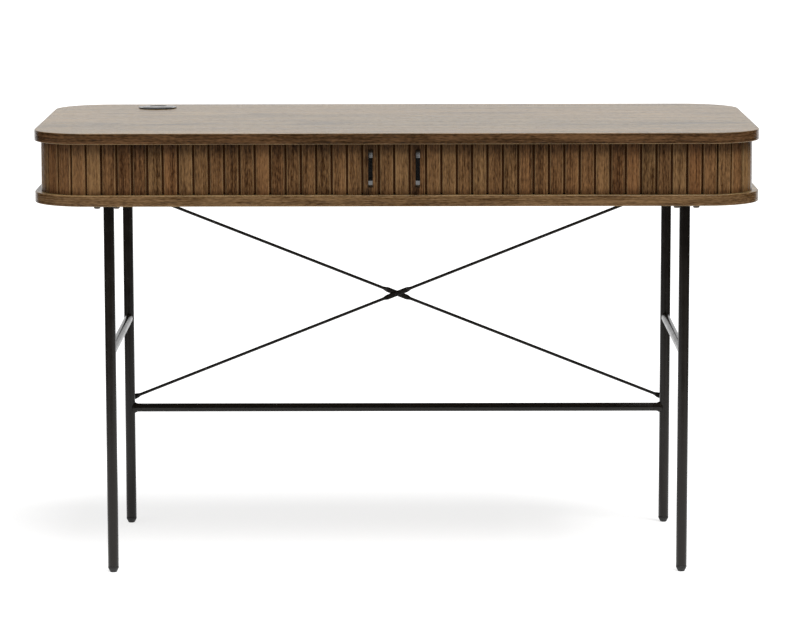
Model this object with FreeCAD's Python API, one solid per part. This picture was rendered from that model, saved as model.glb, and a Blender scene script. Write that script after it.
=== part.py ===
import FreeCAD, Part
import math
import os

# Writing desk with tambour doors, in millimetres. X points to the sitter's right, Y away from the
# sitter and Z up. The origin is on the floor, under the middle of the whole desk. While a piece is
# made, Y is counted from the middle of the panels, and keep() moves it to its place.

# The desk as a whole
width = 1200.0
depth = 560.0
height = 745.0
corner_radius = 93.0
panel_thickness = 18.0
panel_gap = 84.0
edge_band = 1.5
arris_radius = 1.0

# The slats and the track that they run in
slat_setback = 11.0
slat_pitch = 25.15
slat_gap = 3.35
slat_thickness = 6.0
slat_arris = 1.0
slat_shoulder_gap = 0.5
handle_slat_extra = 1.8
meeting_x = -4.1
leading_slats = 5
handle_slat = 1
tail_slats = 3
tongue_thickness = 3.2
tongue_setback = 0.9
groove_width = 5.2
groove_depth = 7.0
tongue_floor_gap = 0.3
tongue_roof_gap = 1.0

# The canvas that the slats are glued to
canvas_thickness = 0.6
canvas_glue = 0.1
canvas_margin = 2.0
canvas_end_gap = 0.3

# The fixed boards of the body
back_inset = 3.0
back_thickness = 6.0
back_groove = 5.0
board_fit = 0.1
wall_inset = 20.0
wall_thickness = 15.0
inner_back_thickness = 12.0
corner_board_thickness = 12.0
divider_thickness = 15.0
divider_inset = 30.0
dowel_radius = 3.0
dowel_length = 24.0
dowel_end_gap = 0.5
dowel_row_shares = (-0.8, 0.0, 0.8)

# The bow handles
handle_length = 62.4
handle_width = 7.4
handle_thickness = 3.0
handle_projection = 19.0
handle_foot = 5.2
handle_raise = 1.5
handle_bevel_height = 12.5
handle_bevel_depth = 9.5
handle_shoulder_bend = 8.0
handle_grip_bend = 3.0
handle_inner_bend = 1.5
handle_screw_radius = 1.5
handle_screw_head_radius = 3.5
handle_screw_head = 1.8
handle_screw_bite = 7.0

# The cable grommet and the hole under it
grommet_from_side = 178.2
grommet_from_back = 75.0
grommet_flange_radius = 33.5
grommet_proud = 2.0
grommet_hole_radius = 30.0
grommet_fit = 0.2
grommet_barrel_length = 20.0
grommet_bore_radius = 25.0
grommet_arris = 1.0
lid_radius = 27.0
lid_fit = 0.05
lid_thickness = 2.4
lid_rest_gap = 0.3
lid_proud = 0.4
lid_slot_width = 29.0
lid_slot_start = 9.0
lid_slot_corner = 4.0

# The steel frame: the rear legs stand as far from the back as the front legs from the front
leg_from_side = 123.0
leg_from_front = 72.0
leg_radius = 9.0
leg_wall = 1.5
rail_radius = 7.5
rail_wall = 1.2
rail_z = 371.0
crossbar_z = 208.5
weld_gap = 0.05
plate_width = 50.0
plate_length = 95.0
plate_thickness = 3.0
plate_corner = 8.0
plate_screw_x = 16.0
plate_screw_y = 37.0
plate_screw_radius = 2.5
plate_screw_head_radius = 5.5
plate_screw_head = 4.0
plate_screw_bite = 13.0
plate_screw_end_gap = 1.0
screw_fit = 0.05
hex_key_radius = 1.3
hex_key_depth_share = 0.6

# The foot caps
foot_height = 10.0
foot_rim = 3.0
foot_tip_radius = 5.4
foot_spigot = 14.0
foot_fit = 0.1

# The sockets that carry the crossbar, and their set screws
socket_length = 11.0
socket_flare = 5.0
socket_flare_radius = 9.5
socket_wrap = 4.5
socket_spigot = 22.0
socket_spigot_fit = 0.1
set_screw_radius = 2.0
set_screw_length = 5.0
set_screw_place = 9.0

# The crossed braces
brace_over_crossbar = 15.0
brace_under_panel = 24.5
brace_radius = 2.7
brace_flat_thickness = 2.2
brace_eye_radius = 4.75
brace_eye_length = 15.0
brace_middle_width = 9.2
brace_middle_length = 46.0
brace_boss_radius = 5.0
brace_boss_proud = 1.0
brace_screw_radius = 2.5
brace_screw_head_radius = 4.2
brace_screw_head = 2.6
brace_nut_radius = 4.4
brace_nut_height = 4.0
brace_screw_end = 1.0

# A cut runs this far past the face that it goes through
overrun = 1.0

# Worked out from the sizes above
half_width = width / 2.0
half_depth = depth / 2.0
front_run = half_width - corner_radius
side_half = half_depth - corner_radius
panels_y = max(handle_projection - slat_setback, 0.0) / 2.0
top_under_z = height - panel_thickness
shelf_z = top_under_z - panel_gap
under_z = shelf_z - panel_thickness
plate_under_z = under_z - plate_thickness
slat_width = slat_pitch - slat_gap
tongue_inset = slat_setback + slat_thickness / 2.0
canvas_face = slat_setback + slat_thickness + canvas_glue
canvas_back = canvas_face + canvas_thickness
leg_x = half_width - leg_from_side
leg_y = half_depth - leg_from_front
leg_bore = leg_radius - leg_wall
brace_low_z = crossbar_z + brace_over_crossbar
brace_high_z = under_z - brace_under_panel
grommet_x = grommet_from_side - half_width
grommet_y = half_depth - grommet_from_back
grommet_barrel_radius = grommet_hole_radius - grommet_fit

# The loop that the slats' faces follow is counted from the middle of the front
face_radius = corner_radius - slat_setback
bend_run = face_radius * math.pi / 2.0
side_run = 2.0 * side_half
bend_end = front_run + bend_run
side_end = bend_end + side_run
rear_bend_end = side_end + bend_run

# How the slats of one door share the loop
straight_slats = int((front_run - abs(meeting_x) - handle_slat_extra) / slat_pitch)
front_slats = straight_slats - leading_slats
door_travel = front_slats * slat_pitch
tail_start = math.ceil((rear_bend_end + abs(meeting_x) - handle_slat_extra) / slat_pitch)

x_axis = FreeCAD.Vector(1, 0, 0)
y_axis = FreeCAD.Vector(0, 1, 0)
z_axis = FreeCAD.Vector(0, 0, 1)
sides = (("left", -1), ("right", 1))
ends = (("front", -1), ("rear", 1))


def point(x, y, z):
    return FreeCAD.Vector(x, y, z)


def keep(name, *shapes):
    # moves the finished solids to their place in the desk's own frame and writes the node
    solids = [solid for shape in shapes for solid in shape.Solids]
    node = Part.makeCompound(solids) if len(solids) > 1 else solids[0]
    node.translate(point(0, panels_y, 0))
    node.exportStep("parts/" + name + ".step")
    print(name, len(solids), "solids", round(node.Volume))


def block(x_span, y_span, z_span):
    low = point(x_span[0], y_span[0], z_span[0])
    size = (x_span[1] - x_span[0], y_span[1] - y_span[0], z_span[1] - z_span[0])
    return Part.makeBox(*size, low)


def peg(x, y, radius, z_span):
    return Part.makeCylinder(radius, z_span[1] - z_span[0], point(x, y, z_span[0]))


def bar(start, end, radius):
    run = end.sub(start)
    return Part.makeCylinder(radius, run.Length, start, run)


def prism(corners, depth_vector):
    outline = Part.makePolygon(list(corners) + [corners[0]])
    return Part.Face(outline).extrude(depth_vector)


def turned(profile):
    # a solid of revolution about Z, from radius and height pairs
    corners = [point(radius, 0, z) for radius, z in profile]
    face = Part.Face(Part.makePolygon(corners + [corners[0]]))
    return face.revolve(point(0, 0, 0), z_axis, 360)


def placed(shape, spot, axis=z_axis, angle=0.0):
    copy = shape.copy()
    copy.Placement = FreeCAD.Placement(spot, FreeCAD.Rotation(axis, angle))
    return copy


def drilled(shape, cutters):
    return shape.cut(Part.makeCompound(cutters)) if cutters else shape


def panel_slab(inset, z_span):
    # a slab with the panels' outline, drawn in by inset all round
    radius = corner_radius - inset
    signs = ((1, -1), (1, 1), (-1, 1), (-1, -1))
    arcs = []
    for turn, (right, rear) in enumerate(signs):
        x = right * front_run
        y = rear * side_half
        angles = [math.radians(90 * turn + step) for step in (-90, -45, 0)]
        arcs.append([point(x + radius * math.cos(a), y + radius * math.sin(a), z_span[0]) for a in angles])
    edges = []
    for turn, arc in enumerate(arcs):
        edges.append(Part.Arc(*arc).toShape())
        edges.append(Part.LineSegment(arc[2], arcs[(turn + 1) % len(arcs)][0]).toShape())
    return Part.Face(Part.Wire(edges)).extrude(point(0, 0, z_span[1] - z_span[0]))


def panel_ring(outer_inset, inner_inset, z_span):
    hollow = (z_span[0] - overrun, z_span[1] + overrun)
    return panel_slab(outer_inset, z_span).cut(panel_slab(inner_inset, hollow))


def track(side, along, inset):
    # the place on the loop at that inset from the panels' edge, and the angle turned through to get there
    radius = corner_radius - inset
    if along <= front_run:
        return point(side * along, inset - half_depth, 0), 0.0
    if along <= bend_end:
        turn = (along - front_run) / face_radius
        x = front_run + radius * math.sin(turn)
        return point(side * x, -side_half - radius * math.cos(turn), 0), side * math.degrees(turn)
    if along <= side_end:
        y = along - bend_end - side_half
        return point(side * (half_width - inset), y, 0), side * 90.0
    if along <= rear_bend_end:
        turn = (along - side_end) / face_radius
        x = front_run + radius * math.cos(turn)
        y = side_half + radius * math.sin(turn)
        return point(side * x, y, 0), side * (90.0 + math.degrees(turn))
    return point(side * (front_run + rear_bend_end - along), half_depth - inset, 0), side * 180.0


def loop_edges(side, start, end, inset, z):
    corners = [s for s in (front_run, bend_end, side_end, rear_bend_end) if start < s < end]
    stops = [start] + corners + [end]
    edges = []
    for first, last in zip(stops, stops[1:]):
        middle = (first + last) / 2.0
        a, b, c = [track(side, s, inset)[0].add(point(0, 0, z)) for s in (first, middle, last)]
        bent = front_run < middle < bend_end or side_end < middle < rear_bend_end
        edges.append((Part.Arc(a, b, c) if bent else Part.LineSegment(a, c)).toShape())
    return edges


def canvas_strip(side, start, end):
    # a strip of canvas behind the slats, from one distance along the loop to another
    low = shelf_z + canvas_margin
    lift = point(0, 0, low)
    face = loop_edges(side, start, end, canvas_face, low)
    back = loop_edges(side, start, end, canvas_back, low)
    caps = []
    for along in (start, end):
        a, b = [track(side, along, inset)[0].add(lift) for inset in (canvas_face, canvas_back)]
        caps.append(Part.LineSegment(a, b).toShape())
    outline = Part.Wire(Part.__sortEdges__(face + back + caps))
    return Part.Face(outline).extrude(point(0, 0, panel_gap - 2.0 * canvas_margin))


def slat_begin(number):
    # where a slat's share of the loop begins, counted from the line where the doors meet
    return number * slat_pitch + (handle_slat_extra if number > handle_slat else 0.0)


def slat_along(side, distance):
    return side * meeting_x + distance


def slat_solid(face_width):
    # one slat, its face on Y zero and its width centred on X
    half = face_width / 2.0
    body = block(
        (-half, half),
        (0, slat_thickness),
        (shelf_z + slat_shoulder_gap, top_under_z - slat_shoulder_gap),
    )
    front_edges = [e for e in body.Edges if e.BoundBox.YMax < slat_thickness / 2.0]
    arrises = [e for e in front_edges if e.BoundBox.ZLength > slat_thickness]
    body = body.makeFillet(slat_arris, arrises)
    tongue_y = (slat_thickness - tongue_thickness) / 2.0
    tongue = block(
        (tongue_setback - half, half - tongue_setback),
        (tongue_y, tongue_y + tongue_thickness),
        (shelf_z - groove_depth + tongue_floor_gap, top_under_z + groove_depth - tongue_roof_gap),
    )
    return body.fuse(tongue)


plain_slat = slat_solid(slat_width)
wide_slat = slat_solid(slat_width + handle_slat_extra)


def slat_center(side, number):
    return slat_along(side, (slat_begin(number) + slat_begin(number + 1)) / 2.0)


def slat_at(side, number):
    spot, angle = track(side, slat_center(side, number), slat_setback)
    return placed(wide_slat if number == handle_slat else plain_slat, spot, z_axis, angle)


# Screws and nuts, made along Z with the head's underside on zero and the shank going down


def screw(radius, length, head_radius, head_height):
    head = Part.makeCylinder(head_radius, head_height)
    rim = [e for e in head.Edges if e.BoundBox.ZMin > head_height / 2.0]
    head = head.makeFillet(head_height / 2.0, rim)
    shank = Part.makeCylinder(radius, length, point(0, 0, -length))
    key_floor = head_height * (1.0 - hex_key_depth_share)
    hex_socket = hex_prism(hex_key_radius, key_floor, head_height + overrun)
    return head.fuse(shank).cut(hex_socket)


def hex_prism(radius, low, high):
    corners = [
        point(radius * math.cos(math.radians(a)), radius * math.sin(math.radians(a)), low)
        for a in range(0, 360, 60)
    ]
    return prism(corners, point(0, 0, high - low))


def dowel_spots():
    # every dowel's X and Y, the same under the top panel and over the bottom one
    wall_x = half_width - wall_inset - wall_thickness / 2.0
    inner_back_y = half_depth - wall_inset - inner_back_thickness / 2.0
    divider_front = divider_inset - half_depth
    divider_half = (half_depth - wall_inset - inner_back_thickness - divider_front) / 2.0
    spots = []
    for share in dowel_row_shares:
        spots += [(side * wall_x, share * side_half) for _, side in sides]
        spots.append((0, divider_front + divider_half * (1 + share)))
    for share in dowel_row_shares[::2]:
        spots.append((share * front_run, inner_back_y))
        spots.append((share * front_run / 2.0, inner_back_y))
    mid = (2.0 * (corner_radius - wall_inset) - corner_board_thickness * math.sqrt(2.0)) / 4.0
    spots += [(side * (front_run + mid), side_half + mid) for _, side in sides]
    return spots


def dowels(radius, end_gap):
    half = dowel_length / 2.0 + end_gap
    joints = (shelf_z, top_under_z)
    return [peg(x, y, radius, (z - half, z + half)) for x, y in dowel_spots() for z in joints]


dowel_holes = dowels(dowel_radius + screw_fit, dowel_end_gap)


def track_groove(z_span):
    half = groove_width / 2.0
    return panel_ring(tongue_inset - half, tongue_inset + half, z_span)


def back_board_slot(z_span):
    x = front_run + board_fit
    y = (half_depth - back_inset - back_thickness - board_fit, half_depth - back_inset + board_fit)
    return block((-x, x), y, z_span)


def plate_screw_spots():
    return [
        (side * leg_x + a * plate_screw_x, end * leg_y + b * plate_screw_y)
        for _, side in sides
        for _, end in ends
        for a in (-1, 1)
        for b in (-1, 1)
    ]


def make_panels():
    top = panel_slab(edge_band, (top_under_z, height))
    cuts = [
        track_groove((top_under_z - overrun, top_under_z + groove_depth)),
        back_board_slot((top_under_z - overrun, top_under_z + back_groove)),
        peg(grommet_x, grommet_y, grommet_hole_radius, (top_under_z - overrun, height + overrun)),
    ]
    for cut in cuts:
        top = top.cut(cut)
    keep("top_panel", drilled(top, dowel_holes))

    bottom = panel_slab(edge_band, (under_z, shelf_z))
    screw_hole = (under_z - overrun, under_z + plate_screw_bite + plate_screw_end_gap)
    cuts = [
        track_groove((shelf_z - groove_depth, shelf_z + overrun)),
        back_board_slot((shelf_z - back_groove, shelf_z + overrun)),
        peg(grommet_x, grommet_y, grommet_bore_radius, (under_z - overrun, shelf_z + overrun)),
    ]
    for cut in cuts:
        bottom = bottom.cut(cut)
    holes = [peg(x, y, plate_screw_radius + screw_fit, screw_hole) for x, y in plate_screw_spots()]
    keep("bottom_panel", drilled(bottom, dowel_holes + holes))

    for name, low in (("top_edge_band", top_under_z), ("bottom_edge_band", under_z)):
        slab = panel_slab(0, (low, low + panel_thickness))
        rim = [e for e in slab.Edges if e.BoundBox.ZLength < arris_radius]
        slab = slab.makeFillet(arris_radius, rim)
        core = panel_slab(edge_band, (low - overrun, low + panel_thickness + overrun))
        keep(name, slab.cut(core))


def make_boards():
    z_span = (shelf_z, top_under_z)
    wall_outer = half_width - wall_inset
    back_outer = half_depth - wall_inset
    for name, side in sides:
        x_span = sorted((side * wall_outer, side * (wall_outer - wall_thickness)))
        wall = block(x_span, (-side_half, side_half), z_span)
        keep(name + "_wall", drilled(wall, dowel_holes))

        reach = corner_radius - wall_inset
        inner_reach = reach - corner_board_thickness * math.sqrt(2.0)
        corners = [(reach, 0), (0, reach), (0, inner_reach), (inner_reach, 0)]
        board = prism(
            [point(side * (front_run + x), side_half + y, shelf_z) for x, y in corners],
            point(0, 0, panel_gap),
        )
        keep(name + "_corner_board", drilled(board, dowel_holes))

    inner_back = block((-front_run, front_run), (back_outer - inner_back_thickness, back_outer), z_span)
    keep("inner_back", drilled(inner_back, dowel_holes))

    half = divider_thickness / 2.0
    divider = block((-half, half), (divider_inset - half_depth, back_outer - inner_back_thickness), z_span)
    keep("center_divider", drilled(divider, dowel_holes))

    depth_in_slot = back_groove - board_fit
    back = block(
        (-front_run, front_run),
        (half_depth - back_inset - back_thickness, half_depth - back_inset),
        (shelf_z - depth_in_slot, top_under_z + depth_in_slot),
    )
    keep("back_panel", back)
    keep("carcass_dowels", *dowels(dowel_radius, 0))


def handle_places():
    # the middle height of a handle and the heights of its two screws above and below that
    middle = (shelf_z + top_under_z) / 2.0 + handle_raise
    return middle, handle_length / 2.0 - handle_foot / 2.0


def screw_row(side, y_span, radius):
    # the pair of holes or shanks behind one handle, as rods along Y
    middle, offset = handle_places()
    x = side * slat_center(side, handle_slat)
    return [
        bar(point(x, y_span[0], middle + up * offset), point(x, y_span[1], middle + up * offset), radius)
        for up in (-1, 1)
    ]


def handle_solid():
    # a cast bow: a post at each end, a bevel, and the grip between
    half = handle_length / 2.0
    grip = half - handle_bevel_height
    post = half - handle_foot
    shoulder = handle_projection - handle_bevel_depth
    back = handle_projection - handle_thickness
    lean = handle_bevel_depth / handle_bevel_height
    inner_grip = grip - handle_thickness * math.tan(math.atan(lean) / 2.0)
    inner_post = back - (post - inner_grip) * lean
    outside = [(0, half), (shoulder, half), (handle_projection, grip)]
    inside = [(back, inner_grip), (inner_post, post), (0, post)]
    outline = outside + [(out, -z) for out, z in reversed(outside)]
    outline += [(out, -z) for out, z in reversed(inside)] + inside
    corners = [point(-handle_width / 2.0, -out, z) for out, z in outline]
    bow = prism(corners, point(handle_width, 0, 0))
    bends = (
        (handle_shoulder_bend, shoulder, half),
        (handle_grip_bend, handle_projection, grip),
        (handle_inner_bend, back, inner_grip),
        (handle_inner_bend, inner_post, post),
    )
    for radius, out, z in bends:
        for up in (-1, 1):
            bend = point(0, -out, up * z)
            edge = min(bow.Edges, key=lambda e: e.CenterOfMass.distanceToPoint(bend))
            bow = bow.makeFillet(radius, [edge])
    return bow


def make_doors():
    middle, offset = handle_places()
    back_y = canvas_back - half_depth
    bow = handle_solid()
    tip_y = slat_setback - half_depth - handle_screw_bite
    for name, side in sides:
        x = side * slat_center(side, handle_slat)
        holes = screw_row(side, (tip_y, back_y + overrun), handle_screw_radius + screw_fit)
        numbers = [n for n in range(leading_slats) if n != handle_slat]
        keep(name + "_leading_slats", *[slat_at(side, n) for n in numbers])
        keep(name + "_handle_slat", drilled(slat_at(side, handle_slat), holes))
        keep(name + "_front_slats", *[slat_at(side, n) for n in range(leading_slats, straight_slats)])
        groups = {"corner": [], "side": [], "rear_corner": []}
        for n in range(straight_slats, tail_start):
            along = slat_center(side, n)
            where = "corner" if along < bend_end else "side" if along < side_end else "rear_corner"
            groups[where].append(slat_at(side, n))
        for where, slats in groups.items():
            keep(name + "_" + where + "_slats", *slats)
        tail = range(tail_start, tail_start + tail_slats)
        keep(name + "_tail_slats", *[slat_at(side, n) for n in tail])

        firsts = (0, leading_slats, straight_slats, tail_start, tail_start + tail_slats)
        cuts = [slat_along(side, slat_begin(n)) for n in firsts]
        names = ("leading", "front", "turn", "tail")
        for part, start, end in zip(names, cuts, cuts[1:]):
            half_gap = canvas_end_gap / 2.0
            strip = canvas_strip(side, start + half_gap, end - half_gap)
            keep(name + "_" + part + "_canvas", drilled(strip, holes) if part == "leading" else strip)

        handle = placed(bow, point(x, slat_setback - half_depth, middle))
        keep(name + "_handle", drilled(handle, holes))
        fastener = screw(handle_screw_radius, back_y - tip_y, handle_screw_head_radius, handle_screw_head)
        screws = [
            placed(fastener, point(x, back_y, middle + up * offset), x_axis, -90)
            for up in (-1, 1)
        ]
        keep(name + "_handle_screws", *screws)


def make_grommet():
    ledge_z = height + grommet_proud + lid_proud - lid_thickness - lid_rest_gap
    rim_z = height + grommet_proud
    bottom_z = height - grommet_barrel_length
    profile = [
        (grommet_bore_radius, bottom_z),
        (grommet_barrel_radius, bottom_z),
        (grommet_barrel_radius, height),
        (grommet_flange_radius, height),
        (grommet_flange_radius - grommet_arris, rim_z),
        (lid_radius, rim_z),
        (lid_radius, ledge_z),
        (grommet_bore_radius, ledge_z),
    ]
    spot = point(grommet_x, grommet_y, 0)
    keep("grommet_sleeve", placed(turned(profile), spot))

    low = ledge_z + lid_rest_gap
    lid = Part.makeCylinder(lid_radius - lid_fit, lid_thickness, point(0, 0, low))
    half = lid_slot_width / 2.0
    z_span = (low - overrun, low + lid_thickness + overrun)
    slot = block((-half, half), (lid_slot_start, lid_radius + overrun), z_span)
    inner_edges = [e for e in slot.Edges if e.BoundBox.YMax < lid_radius]
    corners = [e for e in inner_edges if e.BoundBox.ZLength > lid_thickness]
    lid = lid.cut(slot.makeFillet(lid_slot_corner, corners))
    keep("grommet_lid", placed(lid, spot))


def make_legs():
    reach = plate_thickness + plate_screw_bite
    plate_screw = screw(plate_screw_radius, reach, plate_screw_head_radius, plate_screw_head)
    spots = [point(x, y, plate_under_z) for x, y in plate_screw_spots()]
    keep("plate_screws", *[placed(plate_screw, spot, x_axis, 180) for spot in spots])
    foot = turned([
        (0, 0),
        (foot_tip_radius, 0),
        (leg_radius, foot_height - foot_rim),
        (leg_radius, foot_height),
        (leg_bore - foot_fit, foot_height),
        (leg_bore - foot_fit, foot_height + foot_spigot),
        (0, foot_height + foot_spigot),
    ])
    half_x = plate_width / 2.0
    half_y = plate_length / 2.0
    for name, side in sides:
        plates = []
        feet = []
        for where, end in ends:
            x = side * leg_x
            y = end * leg_y
            tube = peg(x, y, leg_radius, (foot_height, plate_under_z))
            bore = peg(x, y, leg_bore, (foot_height - overrun, plate_under_z + overrun))
            keep(name + "_" + where + "_leg", drilled(tube.cut(bore), brace_holes() if end > 0 else []))
            plate = block((x - half_x, x + half_x), (y - half_y, y + half_y), (plate_under_z, under_z))
            corners = [e for e in plate.Edges if e.BoundBox.ZLength > plate_thickness / 2.0]
            plate = plate.makeFillet(plate_corner, corners)
            z_span = (plate_under_z - overrun, under_z + overrun)
            holes = [peg(hx, hy, plate_screw_radius + screw_fit, z_span) for hx, hy in plate_screw_spots()]
            plates.append(drilled(plate, holes))
            feet.append(placed(foot, point(x, y, 0)))
        keep(name + "_leg_plates", *plates)
        keep(name + "_feet", *feet)

        start = point(side * leg_x, -leg_y, rail_z)
        end = point(side * leg_x, leg_y, rail_z)
        rail = bar(start, end, rail_radius).cut(bar(start, end, rail_radius - rail_wall))
        keep(name + "_side_rail", rail.cut(Part.makeCompound(leg_envelopes())))


def leg_envelopes():
    # what a piece that is welded to the legs is coped to
    return [
        peg(side * leg_x, end * leg_y, leg_radius + weld_gap, (foot_height, plate_under_z))
        for _, side in sides
        for _, end in ends
    ]


def make_crossbar():
    end_x = leg_x - leg_radius - socket_length
    bore = rail_radius - rail_wall
    start = point(-end_x, leg_y, crossbar_z)
    end = point(end_x, leg_y, crossbar_z)
    tube = bar(start, end, rail_radius).cut(bar(start, end, bore))
    screw_reach = rail_radius - set_screw_length
    holes = []
    screws = []
    key_floor = set_screw_length * (1.0 - hex_key_depth_share)
    hex_socket = hex_prism(set_screw_radius / 2.0, key_floor, set_screw_length + overrun)
    set_screw = Part.makeCylinder(set_screw_radius, set_screw_length).cut(hex_socket)
    for _, side in sides:
        x = side * (end_x - set_screw_place)
        inner = point(x, leg_y + screw_reach, crossbar_z)
        outer = point(x, leg_y + rail_radius + overrun, crossbar_z)
        holes.append(bar(inner, outer, set_screw_radius + screw_fit))
        screws.append(placed(set_screw, inner, x_axis, -90))
    keep("rear_crossbar", drilled(tube, holes))
    keep("crossbar_screws", *screws)

    base = leg_radius + socket_length
    spigot_radius = bore - socket_spigot_fit
    saddle = leg_radius - socket_wrap
    profile = [
        (0, saddle),
        (socket_flare_radius, saddle),
        (socket_flare_radius, leg_radius),
        (rail_radius, leg_radius + socket_flare),
        (rail_radius, base),
        (spigot_radius, base),
        (spigot_radius, base + socket_spigot),
        (0, base + socket_spigot),
    ]
    socket = turned(profile)
    sockets = []
    for _, side in sides:
        # the flare is coped to the leg, which it wraps round as a saddle
        fitted = placed(socket, point(side * leg_x, leg_y, crossbar_z), y_axis, -side * 90)
        sockets.append(drilled(fitted, leg_envelopes() + holes))
    keep("crossbar_sockets", *sockets)


def brace_bosses():
    # where the eyes are screwed on, and how far each boss stands out behind its rear leg: the right
    # rod lies behind the left one by the thickness of the flats, so that their middles lie face to face
    left_rod = brace_boss_proud
    right_rod = left_rod + brace_flat_thickness
    return [
        (-leg_x, brace_low_z, left_rod),
        (leg_x, brace_high_z, left_rod),
        (leg_x, brace_low_z, right_rod),
        (-leg_x, brace_high_z, right_rod),
    ]


def brace_holes():
    # the screw holes through the bosses and through the rear walls of the legs
    deep = leg_y + leg_radius / 2.0
    clear = leg_y + leg_radius + brace_boss_proud + brace_flat_thickness + overrun
    bore = brace_screw_radius + screw_fit
    return [bar(point(x, deep, z), point(x, clear, z), bore) for x, z, _ in brace_bosses()]


def brace_rod(length):
    # one rod along X from its lower eye, flattened at both eyes and where the rods cross
    half_flat = brace_flat_thickness / 2.0
    middle = length / 2.0
    half_run = brace_middle_length / 2.0
    half_wide = brace_middle_width / 2.0
    flat_y = (-half_flat, half_flat)
    eye_z = (-brace_eye_radius, brace_eye_radius)
    flats = [block((middle - half_run, middle + half_run), flat_y, (-half_wide, half_wide))]
    for x in (0, length):
        flats.append(bar(point(x, -half_flat, 0), point(x, half_flat, 0), brace_eye_radius))
    for x in (0, length - brace_eye_length):
        flats.append(block((x, x + brace_eye_length), flat_y, eye_z))
    eye_side = brace_eye_length - brace_eye_radius
    flat_side = middle - half_run + half_wide
    rods = [
        bar(point(start, 0, 0), point(end, 0, 0), brace_radius)
        for start, end in ((eye_side, flat_side), (length - flat_side, length - eye_side))
    ]
    brace = rods[0].multiFuse(rods[1:] + flats)
    past = brace_radius + overrun
    bore = brace_screw_radius + screw_fit
    return drilled(brace, [bar(point(x, -past, 0), point(x, past, 0), bore) for x in (0, middle, length)])


def make_braces():
    rise = brace_high_z - brace_low_z
    length = math.hypot(2.0 * leg_x, rise)
    angle = math.degrees(math.atan2(rise, 2.0 * leg_x))
    rod = brace_rod(length)
    left_y = leg_y + leg_radius + brace_boss_proud + brace_flat_thickness / 2.0
    right_y = left_y + brace_flat_thickness
    keep("left_brace_rod", placed(rod, point(-leg_x, left_y, brace_low_z), y_axis, -angle))
    keep("right_brace_rod", placed(rod, point(leg_x, right_y, brace_low_z), y_axis, 180 + angle))

    bosses = []
    screws = []
    for x, z, proud in brace_bosses():
        boss = bar(point(x, leg_y, z), point(x, leg_y + leg_radius + proud, z), brace_boss_radius)
        bosses.append(drilled(boss, leg_envelopes() + brace_holes()))
        reach = brace_flat_thickness + proud + leg_wall + brace_screw_end
        fastener = screw(brace_screw_radius, reach, brace_screw_head_radius, brace_screw_head)
        eye_back = leg_y + leg_radius + proud + brace_flat_thickness
        screws.append(placed(fastener, point(x, eye_back, z), x_axis, -90))
    keep("brace_bosses", *bosses)
    keep("brace_screws", *screws)

    middle_z = (brace_low_z + brace_high_z) / 2.0
    grip = 2.0 * brace_flat_thickness
    reach = grip + brace_nut_height + brace_screw_end
    bolt = screw(brace_screw_radius, reach, brace_screw_head_radius, brace_screw_head)
    nut = hex_prism(brace_nut_radius, 0, brace_nut_height)
    nut = nut.cut(peg(0, 0, brace_screw_radius + screw_fit, (-overrun, brace_nut_height + overrun)))
    front_y = leg_y + leg_radius + brace_boss_proud
    keep(
        "brace_center_bolt",
        placed(bolt, point(0, front_y, middle_z), x_axis, 90),
        placed(nut, point(0, front_y + grip, middle_z), x_axis, -90),
    )


os.makedirs("parts", exist_ok=True)
make_panels()
make_boards()
make_doors()
make_grommet()
make_legs()
make_crossbar()
make_braces()
print("door travel", round(door_travel, 2), "slats on a straight front run", straight_slats)
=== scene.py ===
import bpy
import bmesh
from math import asin, atan, ceil, copysign, cos, pi, radians, sin, sqrt, tan
from mathutils import Matrix, Vector


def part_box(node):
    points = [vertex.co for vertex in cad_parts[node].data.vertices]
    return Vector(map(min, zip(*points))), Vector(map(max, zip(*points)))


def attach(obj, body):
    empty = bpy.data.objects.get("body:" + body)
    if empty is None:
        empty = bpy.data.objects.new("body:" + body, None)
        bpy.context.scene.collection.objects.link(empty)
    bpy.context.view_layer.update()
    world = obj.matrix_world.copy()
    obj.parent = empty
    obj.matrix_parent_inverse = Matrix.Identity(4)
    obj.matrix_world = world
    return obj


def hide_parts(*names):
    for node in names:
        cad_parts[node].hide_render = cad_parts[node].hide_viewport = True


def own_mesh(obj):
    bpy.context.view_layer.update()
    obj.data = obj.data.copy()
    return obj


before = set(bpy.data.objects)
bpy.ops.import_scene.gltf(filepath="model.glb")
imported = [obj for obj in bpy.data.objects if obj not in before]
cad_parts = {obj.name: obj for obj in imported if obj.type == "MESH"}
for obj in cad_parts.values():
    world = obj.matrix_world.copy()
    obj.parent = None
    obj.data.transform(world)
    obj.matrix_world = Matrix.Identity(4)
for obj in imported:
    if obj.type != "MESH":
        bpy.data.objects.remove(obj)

scene = bpy.context.scene
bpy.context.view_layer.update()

# The desk's own lines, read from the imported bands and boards
topLow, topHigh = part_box("top_edge_band")
bottomLow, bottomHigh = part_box("bottom_edge_band")
desk = {
    "halfWidth": topHigh.x,
    "halfDepth": (topHigh.y - topLow.y) / 2,
    "middleY": (topHigh.y + topLow.y) / 2,
    "top": topHigh.z,
    "ceiling": topLow.z,
    "shelf": bottomHigh.z,
    "underside": bottomLow.z,
    "cornerRadius": 0.093,
    "bandThickness": 0.0015,
}
innerX = desk["halfWidth"] - desk["cornerRadius"]  # where the straight front ends
innerY = desk["halfDepth"] - desk["cornerRadius"]
sides = (("left", -1), ("right", 1))
alongX, alongY, alongZ = Vector((1, 0, 0)), Vector((0, 1, 0)), Vector((0, 0, 1))
tiny = 1e-5  # stands for nothing where a size has to be above it


def hexColor(text):
    # a colour as it looks on a screen, made linear
    values = [int(text[i:i + 2], 16) / 255 for i in (0, 2, 4)]
    return tuple(v / 12.92 if v <= 0.04045 else ((v + 0.055) / 1.055) ** 2.4 for v in values) + (1,)


# Mesh helpers

def angles(count):
    return [2 * pi * i / count for i in range(count)]


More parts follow.
